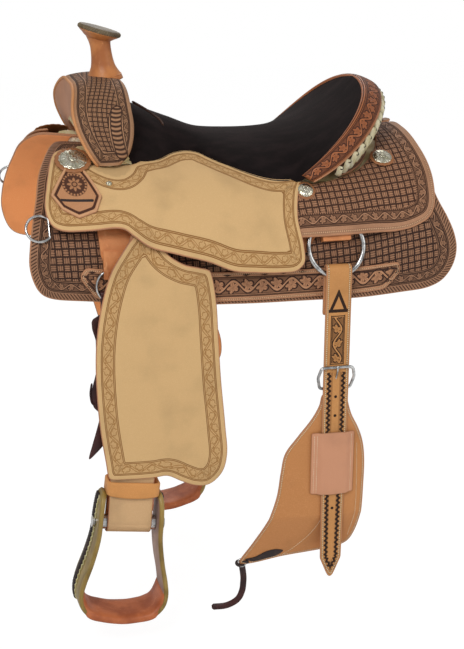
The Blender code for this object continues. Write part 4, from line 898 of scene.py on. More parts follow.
SKIRT_LINE = mm(
    -296, 36, -310, 52, -325, 86, -344, 139, -353, 182, -361, 215, -370, 260, -372, 286, -366, 313, -356, 330,
    -341, 338, -267, 340, -63, 340, 123, 342, 250, 345, 306, 344, 331, 334, 348, 312, 354, 285, 350, 260,
    340, 232, 328, 198, 320, 140, 309, 80, 300, 36, 100, 36, -100, 36)
JOCKEY_OUTER = mm(
    -314, 99, -336, 171, -343, 210, -335, 231, -320, 237, -276, 236, -221, 233, -206, 240, -182, 251,
    -135, 258, -86, 266, -44, 277, -7, 280, 38, 283, 65, 282, 79, 272, 79, 253, 74, 218, 83, 176)
JOCKEY_LINE = mm(-297, 86, -302, 88) + JOCKEY_OUTER + mm(
    99, 143, 94, 139, 60, 128, 10, 118, -45, 78, -88, 54, -125, 70, -160, 94, -190, 118, -288, 118, -293, 100)
JOCKEY_GUIDE = mm(
    -300, 82, -285, 98, -268, 118, -250, 138, -230, 150, -212, 150, -196, 138, -184, 118, -166, 108, -142, 98,
    -111, 77, -87, 72, -68, 76, -51, 92, -29, 113, 8, 136, 40, 147, 76, 146, 100, 142) + JOCKEY_OUTER[::-1]
BACK_OUTER = mm(85, 242, 185, 242, 247, 244, 279, 241, 308, 230, 319, 212, 323, 185, 323, 144, 318, 100,
                311, 39)
BACK_LINE = mm(66, 156, 62, 200, 62, 240) + BACK_OUTER + mm(
    304, 8, 264, 8, 254, 60, 236, 100, 206, 130, 180, 142, 140, 154, 108, 158)
BACK_GUIDE = mm(-50, 242) + BACK_OUTER + mm(304, 0, 294, -50, -50, -50)
PLATE_LINE = mm(
    -250, 283.5, 0, -283, 282.5, 14, -293, 300, 14, -266, 334, 16, 0, 334, 0, 226, 334, 24, 254, 306, 12,
    249, 290, 6, 0, 283.5, 0, each=3)
WOOL_FRONT = -0.262


def side_leathers(tag, side):
    skirt = outline(SKIRT_LINE)

    def woolly(x, s, n):
        rough = noise.noise(Vector((x * 90, s * 90, side * 7)))
        return side_point(x, s, max(n, 0.0022 + 0.0018 * rough) - 0.0002, side)

    wool_line = even(np.maximum(inset(skirt, 0.004), (WOOL_FRONT, -1.0)), 0.003)
    trim(panel("wool_" + tag, wool_line, woolly, FLEECE_T, [WOOL], 0.0075), "fleece", "fleece_" + tag)
    for name, solid, line, low, thick, mat, guide in (
            ("skirt", "skirt", skirt, SKIRT_LO, SKIRT_T, SKIRT_LEATHER, None),
            ("plate", "skirt_plate", corners(PLATE_LINE), PLATE_LO, PLATE_T, PLATE_LEATHER, None),
            ("jockey", "seat_jockey", outline(JOCKEY_LINE), jockey_low, LEATHER_T, ROUGH_JOCKEY,
             JOCKEY_GUIDE),
            ("back", "back_jockey", outline(BACK_LINE), back_low, LEATHER_T, BACK_LEATHER, BACK_GUIDE)):
        guide = outline(guide) if guide else None
        slot = "roughout_leather" if mat is ROUGH_JOCKEY else "tooled_leather"
        mats = [mat, CUT_EDGE, FLESH]
        piece = panel(name + "_leather_" + tag, line, laid(low, side), thick, mats, guide=guide)
        trim(piece, slot, solid + "_" + tag)


FENDER_LINE = [(HANG_X - 0.012, PIVOT_Z - 0.037)] + mm(
    -205, -88, -216, -100, -242, -138, -259, -189, -270, -252, -273, -310, -269, -400, -260, -470,
    -255.5, -497.5, -252, -500.5, -215, -503.5, -178, -504, -156, -503, -132, -515, -108, -525, -84, -525,
    -62, -506, -53, -475, -56, -420, -63, -340, -67, -270, -71, -200, -78, -158, -82, -149, -100, -143,
    -124, -136, -150, -118, -166, -92) + [(HANG_X + 0.012, PIVOT_Z - 0.037)]


def bolt_frame(side):
    turn = Matrix.Rotation(STRAP_TILT, 4, "Y")
    return carried(side) @ Matrix.Translation((BOLT_X, side * LOOP_Y, BOLT_Z)) @ turn


def along_path(place, side, points):
    """Surface of a strap that follows a path of (out, up) points in a frame."""
    p = np.array(points, float)
    run = run_of(p)
    t = unit(np.gradient(p, run, axis=0))

    def surface(x, l, n):
        y, z = (np.interp(l, run, p[:, k]) for k in (0, 1))
        ty, tz = (np.interp(l, run, t[:, k]) for k in (0, 1))
        size = hypot(ty, tz)
        return place @ Vector((x, side * (y - tz / size * n), z + ty / size * n))
    return surface, float(run[-1])


def half_turn(r, rise, steps=12):
    """Points over the top of a bar, from behind it to its front."""
    return [(-r * cos(a), rise + r * sin(a)) for a in (pi * k / steps for k in range(steps + 1))]


def mirrored(half, middle=()):
    """Corners on the left, any in the middle, then the same corners on the right in reverse."""
    return [(-p[0],) + tuple(p[1:]) for p in half] + list(middle) + list(reversed(half))


def hanging(tag, side):
    fender = "fender_" + tag
    add(panel("fender_leather_" + tag, outline(FENDER_LINE), hung(FENDER_N, side), FENDER_T,
              [ROUGH_FENDER, CUT_EDGE, FLESH]), fender, "roughout_leather", fender)
    w = LEATHER_HALF_W
    c, s = cos(STRAP_TILT), sin(STRAP_TILT)
    wide = PIVOT_Z - w / tan(radians(24))
    strap = corners([(HANG_X - 0.004, PIVOT_Z - 0.004, 0.0), (HANG_X - w, wide, 0.012),
                     (BOLT_X - w * c, BOLT_Z + w * s, 0.0), (BOLT_X + w * c, BOLT_Z - w * s, 0.0),
                     (HANG_X + w, wide, 0.012), (HANG_X + 0.004, PIVOT_Z - 0.004, 0.0)])
    mats = [SLEEVE, CUT_EDGE, FLESH]
    upper = panel("strap_upper", strap, hung(LEATHER_N, side), LEATHER_T, mats)
    r = ROLLER_R + PLAY
    turn = [(-r * cos(pi * k / 16), -r * sin(pi * k / 16)) for k in range(17)]
    path = [(-r, 0.07), (-r, 0.045), (-r, 0.02)] + turn + [(r, 0.004)]
    fold, length = along_path(bolt_frame(side), side, path)
    loop = corners([(-w, 0.0, 0.004), (-w, length, 0.0), (w, length, 0.0), (w, 0.0, 0.004)])
    lower = panel("strap_loop", loop, lambda x, l, n: fold(x, l, -n), LEATHER_T, mats, 0.004)
    add(join("strap_leather_" + tag, [upper, lower]), fender, "strap_leather", "stirrup_leather_" + tag)
    hobble(tag, side)
    stirrup(tag, side)


HOBBLE_LOW, HOBBLE_HIGH, HOBBLE_T = 0.0545, 0.079, 0.003


def hobble(tag, side):
    """Band round the leather's two plies and the fender's foot, drawn down in the middle."""
    place = bolt_frame(side)
    turn = 0.006
    w = LEATHER_HALF_W + 0.0042
    front = form_y(-0.5, FENDER_N + FENDER_T) - LOOP_Y - 0.0022
    back = ROLLER_R + LEATHER_T + 0.0009
    ring = []
    for cx, cy, start in ((w - turn, front - turn, 0), (-w + turn, front - turn, 90),
                          (-w + turn, -back + turn, 180), (w - turn, -back + turn, 270)):
        for k in range(6):
            a = radians(start + 18 * k)
            ring.append((cx + turn * cos(a), cy + turn * sin(a)))
    ring = even(ring, 0.004)
    rows = []
    for share, out in ((0.0, 0.2), (0.04, 0.85), (0.1, 1.0), (0.5, 1.0), (0.9, 1.0), (0.96, 0.85), (1.0, 0.2),
                       (1.0, 0.0), (0.5, 0.0), (0.0, 0.0)):
        row = []
        for i, (x, y) in enumerate(ring):
            dx, dy = ring[(i + 1) % len(ring)] - ring[i - 1]
            grow = HOBBLE_T * out / hypot(dx, dy)
            sag = 0.0045 * max(1 - (x / w) ** 2, 0.0) * (y > 0)
            z = HOBBLE_LOW + (HOBBLE_HIGH - HOBBLE_LOW) * share - sag * (1 - share)
            row.append(place @ Vector((x + dy * grow, side * (y - dx * grow), z)))
        rows.append(row)
    band = loft("hobble_band_" + tag, rows + rows[:1], [HOBBLE], caps=False)
    add(band, "fender_" + tag, "strap_leather", "hobble_strap_" + tag)


STIRRUP_HALF = mm(46, 56, 12, 48.8, 50, 20, 50.5, 40, 26, 52, 15, 32, 53, -20, 35, 61, -65, 37.5,
                  70, -100, 38, 73.5, -122, 38, 70, -142, 38, 56, -159, 37, 30, -167, 36, each=3)
STIRRUP_FOOT = mm(0, -170, 36, each=3)


def stirrup_path():
    path = sweep(mirrored(STIRRUP_HALF, STIRRUP_FOOT), 0.0045)
    t = unit(np.gradient(path[:, :2], axis=0))
    return [(x, z, d, ty, -tx) for (x, z, d), (tx, ty) in zip(path, t)]


def boxy_rows(place, path, sides, wide_power, thick_power, grow):
    """Boxy sections along the stirrup; grow(i, k, s) adds to half the width and half the thickness."""
    rows = []
    for i, (x, z, d, nx, nz) in enumerate(path):
        row = []
        for k, a in enumerate(turns(sides, 0.5)):
            c, s = cos(a), sin(a)
            wide, thick = grow(i, k, s)
            out = (STIRRUP_WALL / 2 + thick) * boxy(s, thick_power)
            row.append(place @ Vector((x + nx * out, (d + wide) * boxy(c, wide_power), z + nz * out)))
        rows.append(row)
    return rows


def stirrup(tag, side):
    place = bolt_frame(side)
    path = stirrup_path()
    rows = boxy_rows(place, path, 28, 0.45, 0.55, lambda i, k, s: (0.0, 0.0))
    body = loft("stirrup_hide_" + tag, rows, [STIRRUP_HIDE, LINING], slot=lambda i, k: int(17 <= k <= 24))
    add(body, "stirrup_" + tag, "strap_leather", "stirrup_" + tag)
    tread(tag, place, [p for p in path if p[1] < -0.118])
    lacing(tag, side, place, [p for p in path if -0.146 < p[1] < 0.048])


def tread(tag, place, span):
    """Leather pad wrapped over the floor of the stirrup and closed beneath it."""

    def grow(i, k, s):
        x, z, _, nx, _ = span[i]
        swell = 0.0012 + 0.0042 * min(min(i, len(span) - 1 - i) / 4, 1.0) ** 0.5
        leg = 0.005 * ramp(abs(nx), (0.55, 0.85), (0.0, 1.0))
        wrinkle = 0.0006 * noise.noise(Vector((x * 60, k * 0.4, z * 60)))
        return 0.003 - leg, (swell if s < 0 else 0.0018 - leg) + wrinkle

    pad = loft("tread_pad_" + tag, boxy_rows(place, span, 32, 0.5, 0.6, grow), [TREAD])
    add(pad, "stirrup_" + tag, "tread_leather", "stirrup_tread_" + tag)


LACE_SPREAD = (1.0, 0.6, 0.0, -0.6, -1.0)
LACE_OVER = (0.98, 1.22, 1.34, 1.22, 0.98)
LACE_BACK = (0.98, 1.18, 1.28, 1.18, 0.98)
LACE_HALF = 0.0092


def lacing(tag, side, place, spots):
    """Dark lace crossing the seam on the outer face of each leg, over a pinked edge."""
    strands = []
    pinks = {True: [], False: []}

    def at(spot, y, share):
        x, z, _, nx, nz = spot
        out = STIRRUP_WALL / 2 * share
        return place @ Vector((x + nx * out, y, z + nz * out))

    for i, (spot, after) in enumerate(zip(spots, spots[1:])):
        front = bool(spot[0] < 0)
        if front != (after[0] < 0):
            continue
        seam = -side * 0.3 * spot[2]
        a, b = ([at(p, seam + side * LACE_HALF * w, h) for w, h in zip(LACE_SPREAD, heights)]
                for p, heights in ((spot, LACE_OVER), (after, LACE_BACK)))
        mixed = [p.lerp(q, k / 4) for k, (p, q) in enumerate(zip(a, b))]
        strands.append(tube("strand", mixed, 0.0025, [DARK_LACE], sides=6))
        strands.append(tube("strand", a, 0.0023, [DARK_LACE], sides=6))
        pinks[front].append(at(spot, seam + side * (LACE_HALF + 0.0008 + 0.0058 * (i % 2)), 1.1))
    add(join("stirrup_lace_" + tag, strands), "stirrup_" + tag, "latigo_leather")
    edges = [tube("pink", run, 0.0015, [CREAM_LACE], sides=6) for run in pinks.values()]
    add(join("stirrup_pinking_" + tag, edges), "stirrup_" + tag, "strap_leather")


def ring_path(side, x, y, z, r, top_z, tilt, steps, across):
    """Ring with a straight bar on top, at an outward tilt."""
    top = acos(-top_z / r)
    path = []
    for k in range(steps + 1):
        a = -top + 2 * top * k / steps
        rise = min(-r * cos(a), top_z)
        path.append(Vector((x + r * sin(a), side * (y - rise * tan(tilt)), z + rise)))
    return path + [path[-1].lerp(path[0], f / across) for f in range(1, across)]


def rings(tag, side):
    rear = ring_path(side, RING_X, RING_Y, RING_Z, RING_R, RING_TOP, RING_TILT, 48, 10)
    front = ring_path(side, FRONT_RING_X, FRONT_RING_Y, FRONT_RING_Z, FRONT_RING_R, FRONT_RING_TOP,
                      0.0, 40, 8)
    for name, path, wire, sides in (("rear", rear, RING_WIRE, 16), ("front", front, FRONT_RING_WIRE, 12)):
        ring = tube(name + "_ring_wire_" + tag, path, wire, [STEEL], True, sides)
        trim(ring, "steel", name + "_ring_" + tag)


def disc_frame(name, side):
    """Middle, base, plane turn and radius of a disc that lies on the side."""
    points = np.array([v.co[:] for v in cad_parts[name].data.vertices])
    middle = points.mean(0)
    _, _, axes = np.linalg.svd(points - middle)
    normal = Vector(axes[2])
    if normal.y * side < 0:
        normal = -normal
    depth = min(Vector(p - middle).dot(normal) for p in points)
    radius = max((Vector(p - middle) - normal * Vector(p - middle).dot(normal)).length for p in points)
    first = (Vector((1, 0, 0)) - normal * normal.x).normalized()
    turn = Matrix((first, normal.cross(first), normal)).transposed()
    return Vector(middle), Vector(middle) + normal * depth, turn, radius


def circle(at, count, place):
    """Closed path of place(cos, sin) round a point."""
    return [at + place(cos(a), sin(a)) for a in turns(count)]


def lathe(name, at, turn, profile, mats, segments=48, wave=None):
    """Turned shape of (radius, height, share) rings; wave(a) scales a radius by its share."""
    rows = []
    for r, h, *share in profile:
        row = []
        for a in turns(segments):
            size = r * (1 + share[0] * wave(a)) if wave else r
            row.append(at + turn @ Vector((size * cos(a), size * sin(a), h)))
        rows.append(row)
    obj = loft(name, rows, mats)
    layer = obj.data.uv_layers["flat"]
    back = turn.transposed()
    widest = max(ring[0] for ring in profile)
    for corner in obj.data.loops:
        p = back @ (obj.data.vertices[corner.vertex_index].co - at)
        layer.data[corner.index].uv = (p.x / widest, p.y / widest)
    return obj


def scallops(a):
    return abs(cos(8 * a)) ** 0.7 - 1


PETALS = ((1.24, 0.0, 0.05), (1.28, 0.0007, 0.05), (1.26, 0.0015, 0.05), (0.9, 0.0017, 0.0),
          (0.2, 0.0017, 0.0))
DOME = ((0.95, 0.0016, 0.06), (1.0, 0.0024, 0.06), (0.96, 0.0035, 0.06), (0.84, 0.0037, 0.0),
        (0.78, 0.0044, 0.0), (0.6, 0.0052, 0.0), (0.42, 0.0058, 0.0), (0.34, 0.0053, 0.0),
        (0.26, 0.0062, 0.0), (0.08, 0.0066, 0.0))
PLAQUE_BEAD = ((0.0, 0.0018), (0.05, 0.0034), (0.25, 0.0042), (0.75, 0.0042), (0.95, 0.0034), (1.0, 0.0018))


def concho(name, side):
    _, at, turn, r = disc_frame(name, side)
    for kind, rings_of, mat, slot, solids in (("rosette", PETALS, ROSETTE, "strap_leather", ()),
                                              ("silver", DOME, SILVER, "silver", (name,))):
        profile = [(r * wide, h, share) for wide, h, share in rings_of]
        trim(lathe(name.replace("concho", kind), at, turn, profile, [mat], 64, scallops), slot, *solids)


def screw(name, x, s, side, r=0.005):
    """Screw head, slotted on the saddle, drawn as a plain dome standing on the seat jockey."""
    at = side_point(x, s, jockey_top(x, s), side)
    down = side_point(x, s + 0.01, jockey_top(x, s + 0.01), side) - at
    ahead = Vector((1, 0, 0))
    normal = ahead.cross(down.normalized()) * side
    turn = Matrix((ahead, normal.cross(ahead), normal)).transposed()
    dome = [(r, -0.0006), (r, 0.0006), (r * 0.8, 0.0018), (r * 0.4, 0.0024), (r * 0.1, 0.0026)]
    trim(lathe(name, at, turn, dome, [SILVER], 24), "silver")


PLAQUE_LINE = mm(-299, 131, 2, -274, 131, 2, -249.5, 188, 3, -261, 211, 3, -290, 220.5, 3, -316, 209, 3,
                 -332, 188, 3, each=3)
SLIT_LINE = mm(-317, 192.5, 1, -317, 196.5, 1, -264, 196.5, 1, -264, 192.5, 1, each=3)


def plaque(tag, side):
    """Keeper for the strap's end: a raised rim round a tooled field, and a slit shown as a thin dark sheet of
    painted shade.
    """
    line = corners(PLAQUE_LINE, 0.002)
    surface = laid(lambda x, s: jockey_top(x, s) + PLAY, side)
    base = panel("plaque_" + tag, line, surface, 0.0022, [PLAQUE, CUT_EDGE], 0.004)
    outer, inner = inset(line, 0.0006), inset(line, 0.0046)
    rows = [[surface(x, s, n) for x, s in outer * (1 - share) + inner * share] for share, n in PLAQUE_BEAD]
    trim(base, "tooled_leather", "latigo_keeper_" + tag)
    trim(loft("plaque_rim_" + tag, rows, [PLAQUE_RIM], caps=False), "tooled_leather")
    # The slit is a thin dark sheet on the plaque: painted shade standing in for the opening.
    slit = panel("plaque_slit_shade_" + tag, corners(SLIT_LINE, 0.002), lambda x, s, n: surface(x, s, n + 0.0017),
                 0.0008, [DARK_LACE], 0.003)
    trim(slit, "latigo_leather")


def billet_place(side):
    turn = Matrix.Rotation(BILLET_LEAN, 4, "Y")
    y = RING_Y + RING_R * tan(RING_TILT) - 0.0008
    return Matrix.Translation((RING_X, side * y, RING_Z - RING_R)) @ turn


def billet(tag, side, length):
    r, w = BILLET_ROOM, BILLET_HALF_W
    back, rise = 0.07, 0.0105
    path = [(-r, -back), (-r, -0.045), (-r, -0.02), (-r, 0.0)] + half_turn(r, rise) + [
        (r, 0.0), (r, -0.05), (r, -length * 0.5), (r, -length - 0.01)]
    lead = back + rise + pi * r + rise
    waist = [(w, length * 0.45, 0.2)] if length > 0.3 else []
    half = [(w, -lead, 0.004)] + waist + [(w * 0.84, length - 0.045, 0.01)]
    fold, _ = along_path(billet_place(side), side, path)
    strap = panel("billet_strap_" + tag, corners(mirrored(half, [(0.0, length, 0.008)])),
                  lambda x, l, n: fold(x, l + lead, n), BILLET_T, [BILLET, CUT_EDGE, BARE], 0.004)
    add(strap, "flank_" + tag, "strap_leather", "flank_billet_" + tag)


CINCH_LINE = mm(
    -21, -208, -27, -228, -40, -252, -64, -283, -85, -312, -92, -345, -98, -388, -113, -435, -135, -482,
    -155, -524, -150, -527.5, -125, -526, -80, -517, -30, -511, 10, -506, 28, -501, 40, -492, 49, -470,
    55, -430, 57.5, -380, 57.5, -330, 53, -298, 44, -272, 31, -246, 24, -222, 22, -208, 0, -206.5)
CINCH_T = 0.0045
CINCH_BACK = BILLET_ROOM - PLAY - CINCH_T
CINCH_BEND_Z = -0.43
BUCKLE_SIDE = mm(24, -158, 27.5, -160, 30.5, -170, 31.5, -176, 29.5, -186, 26.2, -196, 20, -197.5)
TONGUE = mm(0, 5, -180, 0, 0, -170, 0, -3, -164, 0, -4.4, -157.5, 0, -3, -153.5, each=3)
PATCH = mm(-146, -516, -128, -512, -108, -501, -90, -498.5, -78, -503, -88, -512, -108, -518, -130, -522)
SEAM_FRONT = mm(-12, -405, -18, -440, -34, -470, -62, -500, -78, -512)
SEAM_REAR = mm(42, -300, 44, -360, 43, -430, 36, -480)
THREAD_STEP = 0.0006


def cinch_surface(x, z, n):
    """Behind the billet, drawn inwards below the bend."""
    drawn = min(z - CINCH_BEND_Z, 0.0) * 0.35
    smooth = 0.0012 * sin(z * 24 + x * 12)
    return billet_place(-1.0) @ Vector((x, -(CINCH_BACK + n + drawn + min(smooth, 0)), z))


def on_cinch(x, z, n):
    return cinch_surface(x, z, n + CINCH_T)


def flank():
    body = "flank_near"
    mats = [PLAIN, CUT_EDGE, BARE]
    cinch = panel("cinch_leather", outline(CINCH_LINE), cinch_surface, CINCH_T, mats, 0.006)
    add(cinch, body, "strap_leather", "flank_cinch")
    place = billet_place(-1.0)
    y = -(BILLET_ROOM + BILLET_T + PLAY + 0.0026)
    behind = -(BILLET_ROOM - 0.0031)
    left = [(-x, z) for x, z in BUCKLE_SIDE]
    wire = left[:1] + [(0.0, -0.1575)] + BUCKLE_SIDE + [(0.0, -0.198)] + left[:0:-1]
    loop = [place @ Vector((x, ramp(z, (-0.194, -0.164), (behind, y)), z)) for x, z in outline(wire, 0.002)]
    pin = sweep([(0.0, behind - y, -0.196)] + TONGUE, 0.002)
    parts = [tube("buckle_wire", loop, 0.0026, [STEEL], True, 14),
             tube("buckle_tongue", [place @ Vector((x, y + dy, z)) for x, dy, z in pin], 0.0017, [STEEL])]
    add(join("buckle_steel", parts), body, "steel", "flank_buckle")
    chape = corners(mirrored(mm(20.5, -262, 6, 20.5, -192, 2, each=3)), 0.0025)
    add(panel("buckle_chape", chape, on_cinch, 0.0012, mats[:2], 0.005), body, "strap_leather")
    keeper(place, body)
    patch = panel("cinch_patch", outline(PATCH, 0.002), on_cinch, 0.0012, [DARK_LACE], 0.004)
    add(patch, body, "latigo_leather")
    for name, seam in (("cinch_seam", SEAM_FRONT), ("cinch_seam_rear", SEAM_REAR)):
        add(stitches(name, lambda x, z: on_cinch(x, z, 0.0001), seam), body, "strap_leather")
    connector(body)


def stitches(name, surface, line, length=0.003, gap=0.0014):
    """Row of short raised threads along a line on a surface."""
    points = sweep(line, THREAD_STEP)
    step = int(round((length + gap) / THREAD_STEP))
    run = int(round(length / THREAD_STEP))
    parts = []
    for i in range(0, len(points) - run, step):
        ends = [surface(*points[k]) for k in (i, i + run // 2, i + run)]
        parts.append(tube("stitch", ends, 0.00055, [THREAD_HIDE], sides=5))
    return join(name, parts)


def keeper(place, body):
    """Pink sleeve on the cinch with its two stitched tabs."""
    w = BILLET_HALF_W + 0.0012
    base = BILLET_ROOM
    t = 0.0028
    face = BILLET_ROOM + BILLET_T + PLAY + t
    flat = base + t
    span = [(-w - 0.0165, flat), (-w - 0.006, flat), (-w - 0.0028, flat + 0.0012),
            (-w - 0.0005, face - t * 0.1), (-w * 0.6, face + 0.0006), (0.0, face + 0.0009),
            (w * 0.6, face + 0.0006), (w + 0.0005, face - t * 0.1), (w + 0.0028, flat + 0.0012),
            (w + 0.006, flat), (w + 0.0125, flat)]
    line = sweep(span, 0.002)
    run = run_of(line)
    total = float(run[-1])

    def surface(l, z, n):
        x, y = (ramp(l, run, line[:, k]) for k in (0, 1))
        droop = 0.0018 * sin(l / total * pi)
        return place @ Vector((x, -(y - t + n), z - droop * (z < -0.35) + droop * 0.5 * (z > -0.3)))

    low, high = -0.388, -0.276
    shape = [(0.0, low, 0.004), (0.0, high, 0.003), (total, high, 0.003), (total, low, 0.004)]
    sleeve = panel("keeper_sleeve", corners(shape, 0.0025), surface, t, [PINK, CUT_EDGE, BARE], 0.004)
    add(sleeve, body, "strap_leather", "billet_keeper")
    seams = [stitches("seam", lambda a, b: surface(a, b, t), [(l, -0.385), (l, -0.33), (l, -0.279)])
             for l in (0.0055, 0.0105, total - 0.0052)]
    add(join("keeper_seams", seams), body, "strap_leather")


STRING_PATH = mm(-10, -184, -733, -9.5, -181, -745, -11, -179, -762, -18, -174, -781, -36, -167, -794.5,
                 -62, -158, -799.5, each=3)


def connector(body):
    """Dark string from the cinch's tip, knotted round a small ring."""
    tip = billet_place(-1.0) @ Vector((-0.15, -(CINCH_BACK + (-0.518 - CINCH_BEND_Z) * 0.35 - 0.004), -0.524))
    string = tube("connector_string", sweep([tip[:]] + STRING_PATH, 0.003), 0.0056, [LATIGO], sides=12,
                  flat=0.3, lean=Vector((-0.22, -0.93, 0.3)))
    add(string, body, "latigo_leather", "connector_strap")
    ring = circle(tip, 20, lambda c, s: Vector((0.0075 * c, -0.003, 0.0075 * s)))
    add(tube("connector_ring", ring, 0.0015, [STEEL], True, 8), body, "steel")
    knot = circle(tip, 18, lambda c, s: Vector((0.01 * c, -0.004 - 0.006 * s * c, 0.004 * s)))
    add(tube("connector_knot", knot, 0.0026, [DARK_LACE], True, 8), body, "latigo_leather")


LATIGO_LEFT = mm(-27.5, 30, 8, -26.2, 46, 10, -20.7, 65, 12, -20.3, 117, 10, -31.4, 159.5, 12, -27, 182, 10,
                 -15.5, 194, 10, -39.5, 279, 3, -8.4, 246.5, 6, each=3)
LATIGO_LOOP = mm(-29, 139, -31.6, 159.5, -27.5, 176, -18.5, 176, -15, 158, -16.5, 143)


def latigo():
    """Burgundy strap: folded through the ring, with a small standing loop and a long tail."""
    place = Matrix.Translation((-0.249, -FRONT_RING_Y, FRONT_RING_Z - 0.026))
    r = FRONT_RING_WIRE + PLAY
    w = 0.011
    back, rise = 0.06, 0.014
    drop = r - 0.0052
    path = [(-r, -back), (-r, -0.03), (-r, 0.0)] + half_turn(r, rise) + [
        (r, 0.0), (r, -0.01), (r - 0.0016, -0.022), (drop, -0.044), (drop, -0.1), (drop, -0.29)]
    lead = back + rise + pi * r + rise
    fold, _ = along_path(place, -1.0, path)
    line = corners([(-w, -lead, 0.003), (-w, 0.0195, 0.006)] + LATIGO_LEFT
                   + [(w * 0.9, 0.19, 0.01), (w, 0.0195, 0.01), (w, -lead, 0.003)])

    def surface(x, l, n):
        curl = max(0.0016 * sin(l * 34 + 0.4) * (l > 0.03), 0.0)
        return fold(x, l + lead, n + curl + 0.0008 * sin(x * 220) * (l > 0.12))

    add(panel("latigo_strap", line, surface, 0.0017, [LATIGO], 0.004), "latigo", "latigo_leather", "latigo")
    ring = [surface(x, l, 0.0021) for x, l in sweep(LATIGO_LOOP, 0.003)]
    add(tube("latigo_loop", ring, 0.0018, [LATIGO], sides=8, flat=0.6), "latigo", "latigo_leather")


# Fork cover: outer profile of the arch, and how far it runs fore and aft at each height
ARCH = mm(0, 132, 45, 131, 80, 121, 108, 100, 126, 74, 136, 48, 142, 26, 144, 12)
ARCH_INNER = mm(0, 58.5, 36, 54.5, 54, 46.5, 66, 34.5, 72, 20.5)
ARCH_Z = (0.006, 0.026, 0.048, 0.074, 0.1, 0.132)
FRONT_AT = curve(ARCH_Z, (-0.238, -0.252, -0.264, -0.274, -0.277, -0.268))
REAR_AT = curve(ARCH_Z, (-0.218, -0.198, -0.189, -0.185, -0.186, -0.186))
FORK_SWELL = curve((0.0, 0.035, 0.1, 0.5, 0.9, 0.965, 1.0),
                   (-0.0075, -0.004, -0.0012, 0.003, -0.0012, -0.004, -0.0075))
FORK_SHARES = [0.0, 0.012, 0.035, 0.07] + [0.1 + 0.8 * k / 14 for k in range(15)] + [0.93, 0.965, 0.988, 1.0]
TUCKS = (0.97, 0.55, 0.16, 0.04)


def arch(step):
    half = sweep(ARCH, step)
    return np.vstack([half[::-1] * (-1, 1), half[1:]])


def fork():
    outer = arch(0.0045)
    run = run_of(outer)
    run -= run[-1] / 2
    tangent = unit(np.gradient(outer, axis=0))
    inner_half = sweep(ARCH_INNER, 0.002)
    spread = np.linspace(-1, 1, len(outer))
    shares = np.linspace(0, 1, len(inner_half))
    inner = np.stack([np.interp(abs(spread), shares, inner_half[:, k]) for k in (0, 1)], 1)
    inner[:, 0] *= np.sign(spread)

    def inner_point(i, share):
        y, z = inner[i]
        front, rear = FRONT_AT(z) - COVER_T + 0.004, REAR_AT(z) + COVER_T - 0.004
        return Vector((front + (rear - front) * share, y, z))

    rows, facts, tucked = [], [], []
    stations = [(0.0, b) for b in TUCKS] + [(t, 0.0) for t in FORK_SHARES] + [(1.0, b) for b in TUCKS[::-1]]
    for t, tuck in stations:
        row, fact = [], []
        for i, ((y, z), (ty, tz)) in enumerate(zip(outer, tangent)):
            out = FORK_SWELL(t) + COVER_T
            front, rear = FRONT_AT(z) - COVER_T, REAR_AT(z) + COVER_T
            p = Vector((front + t * (rear - front), y - tz * out, z + ty * out))
            if tuck:
                bulge = 0.0022 * (1 if t else -1) * sin(pi * tuck)
                p = p.lerp(inner_point(i, t), tuck) + Vector((bulge, 0, 0))
            row.append(p)
            width = rear - front
            foot = run[-1] - abs(run[i])
            edge = min(t, 1 - t) * width
            fact.append((run[i], t * width, run[i] if edge < foot else t * width, min(edge, foot + 0.002)))
        rows.append(row)
        facts.append(fact)
        tucked.append(int(tuck > 0))
    cover = sheet("fork_leather", rows, facts, [FORK_LEATHER, FORK_PLAIN],
                  slot=lambda i, k: max(tucked[i], tucked[i + 1]))
    under = [[inner_point(i, share) for i in range(len(outer))] for share in (0.0, 0.15, 0.5, 0.85, 1.0)]
    trim(cover, "tooled_leather", "fork_cover")
    trim(loft("fork_lining", under, [FORK_PLAIN], around=False, caps=False), "tooled_leather")
    path = [Vector((FRONT_AT(z) - COVER_T * 0.9, y * 0.985, z - 0.0015)) for y, z in arch(0.004)]
    trim(tube("fork_welt", path, 0.0026, [BARE]))
    horn()


def turned(points, step):
    """Smooth profile for lathe."""
    return [tuple(p) for p in sweep(points, step)]


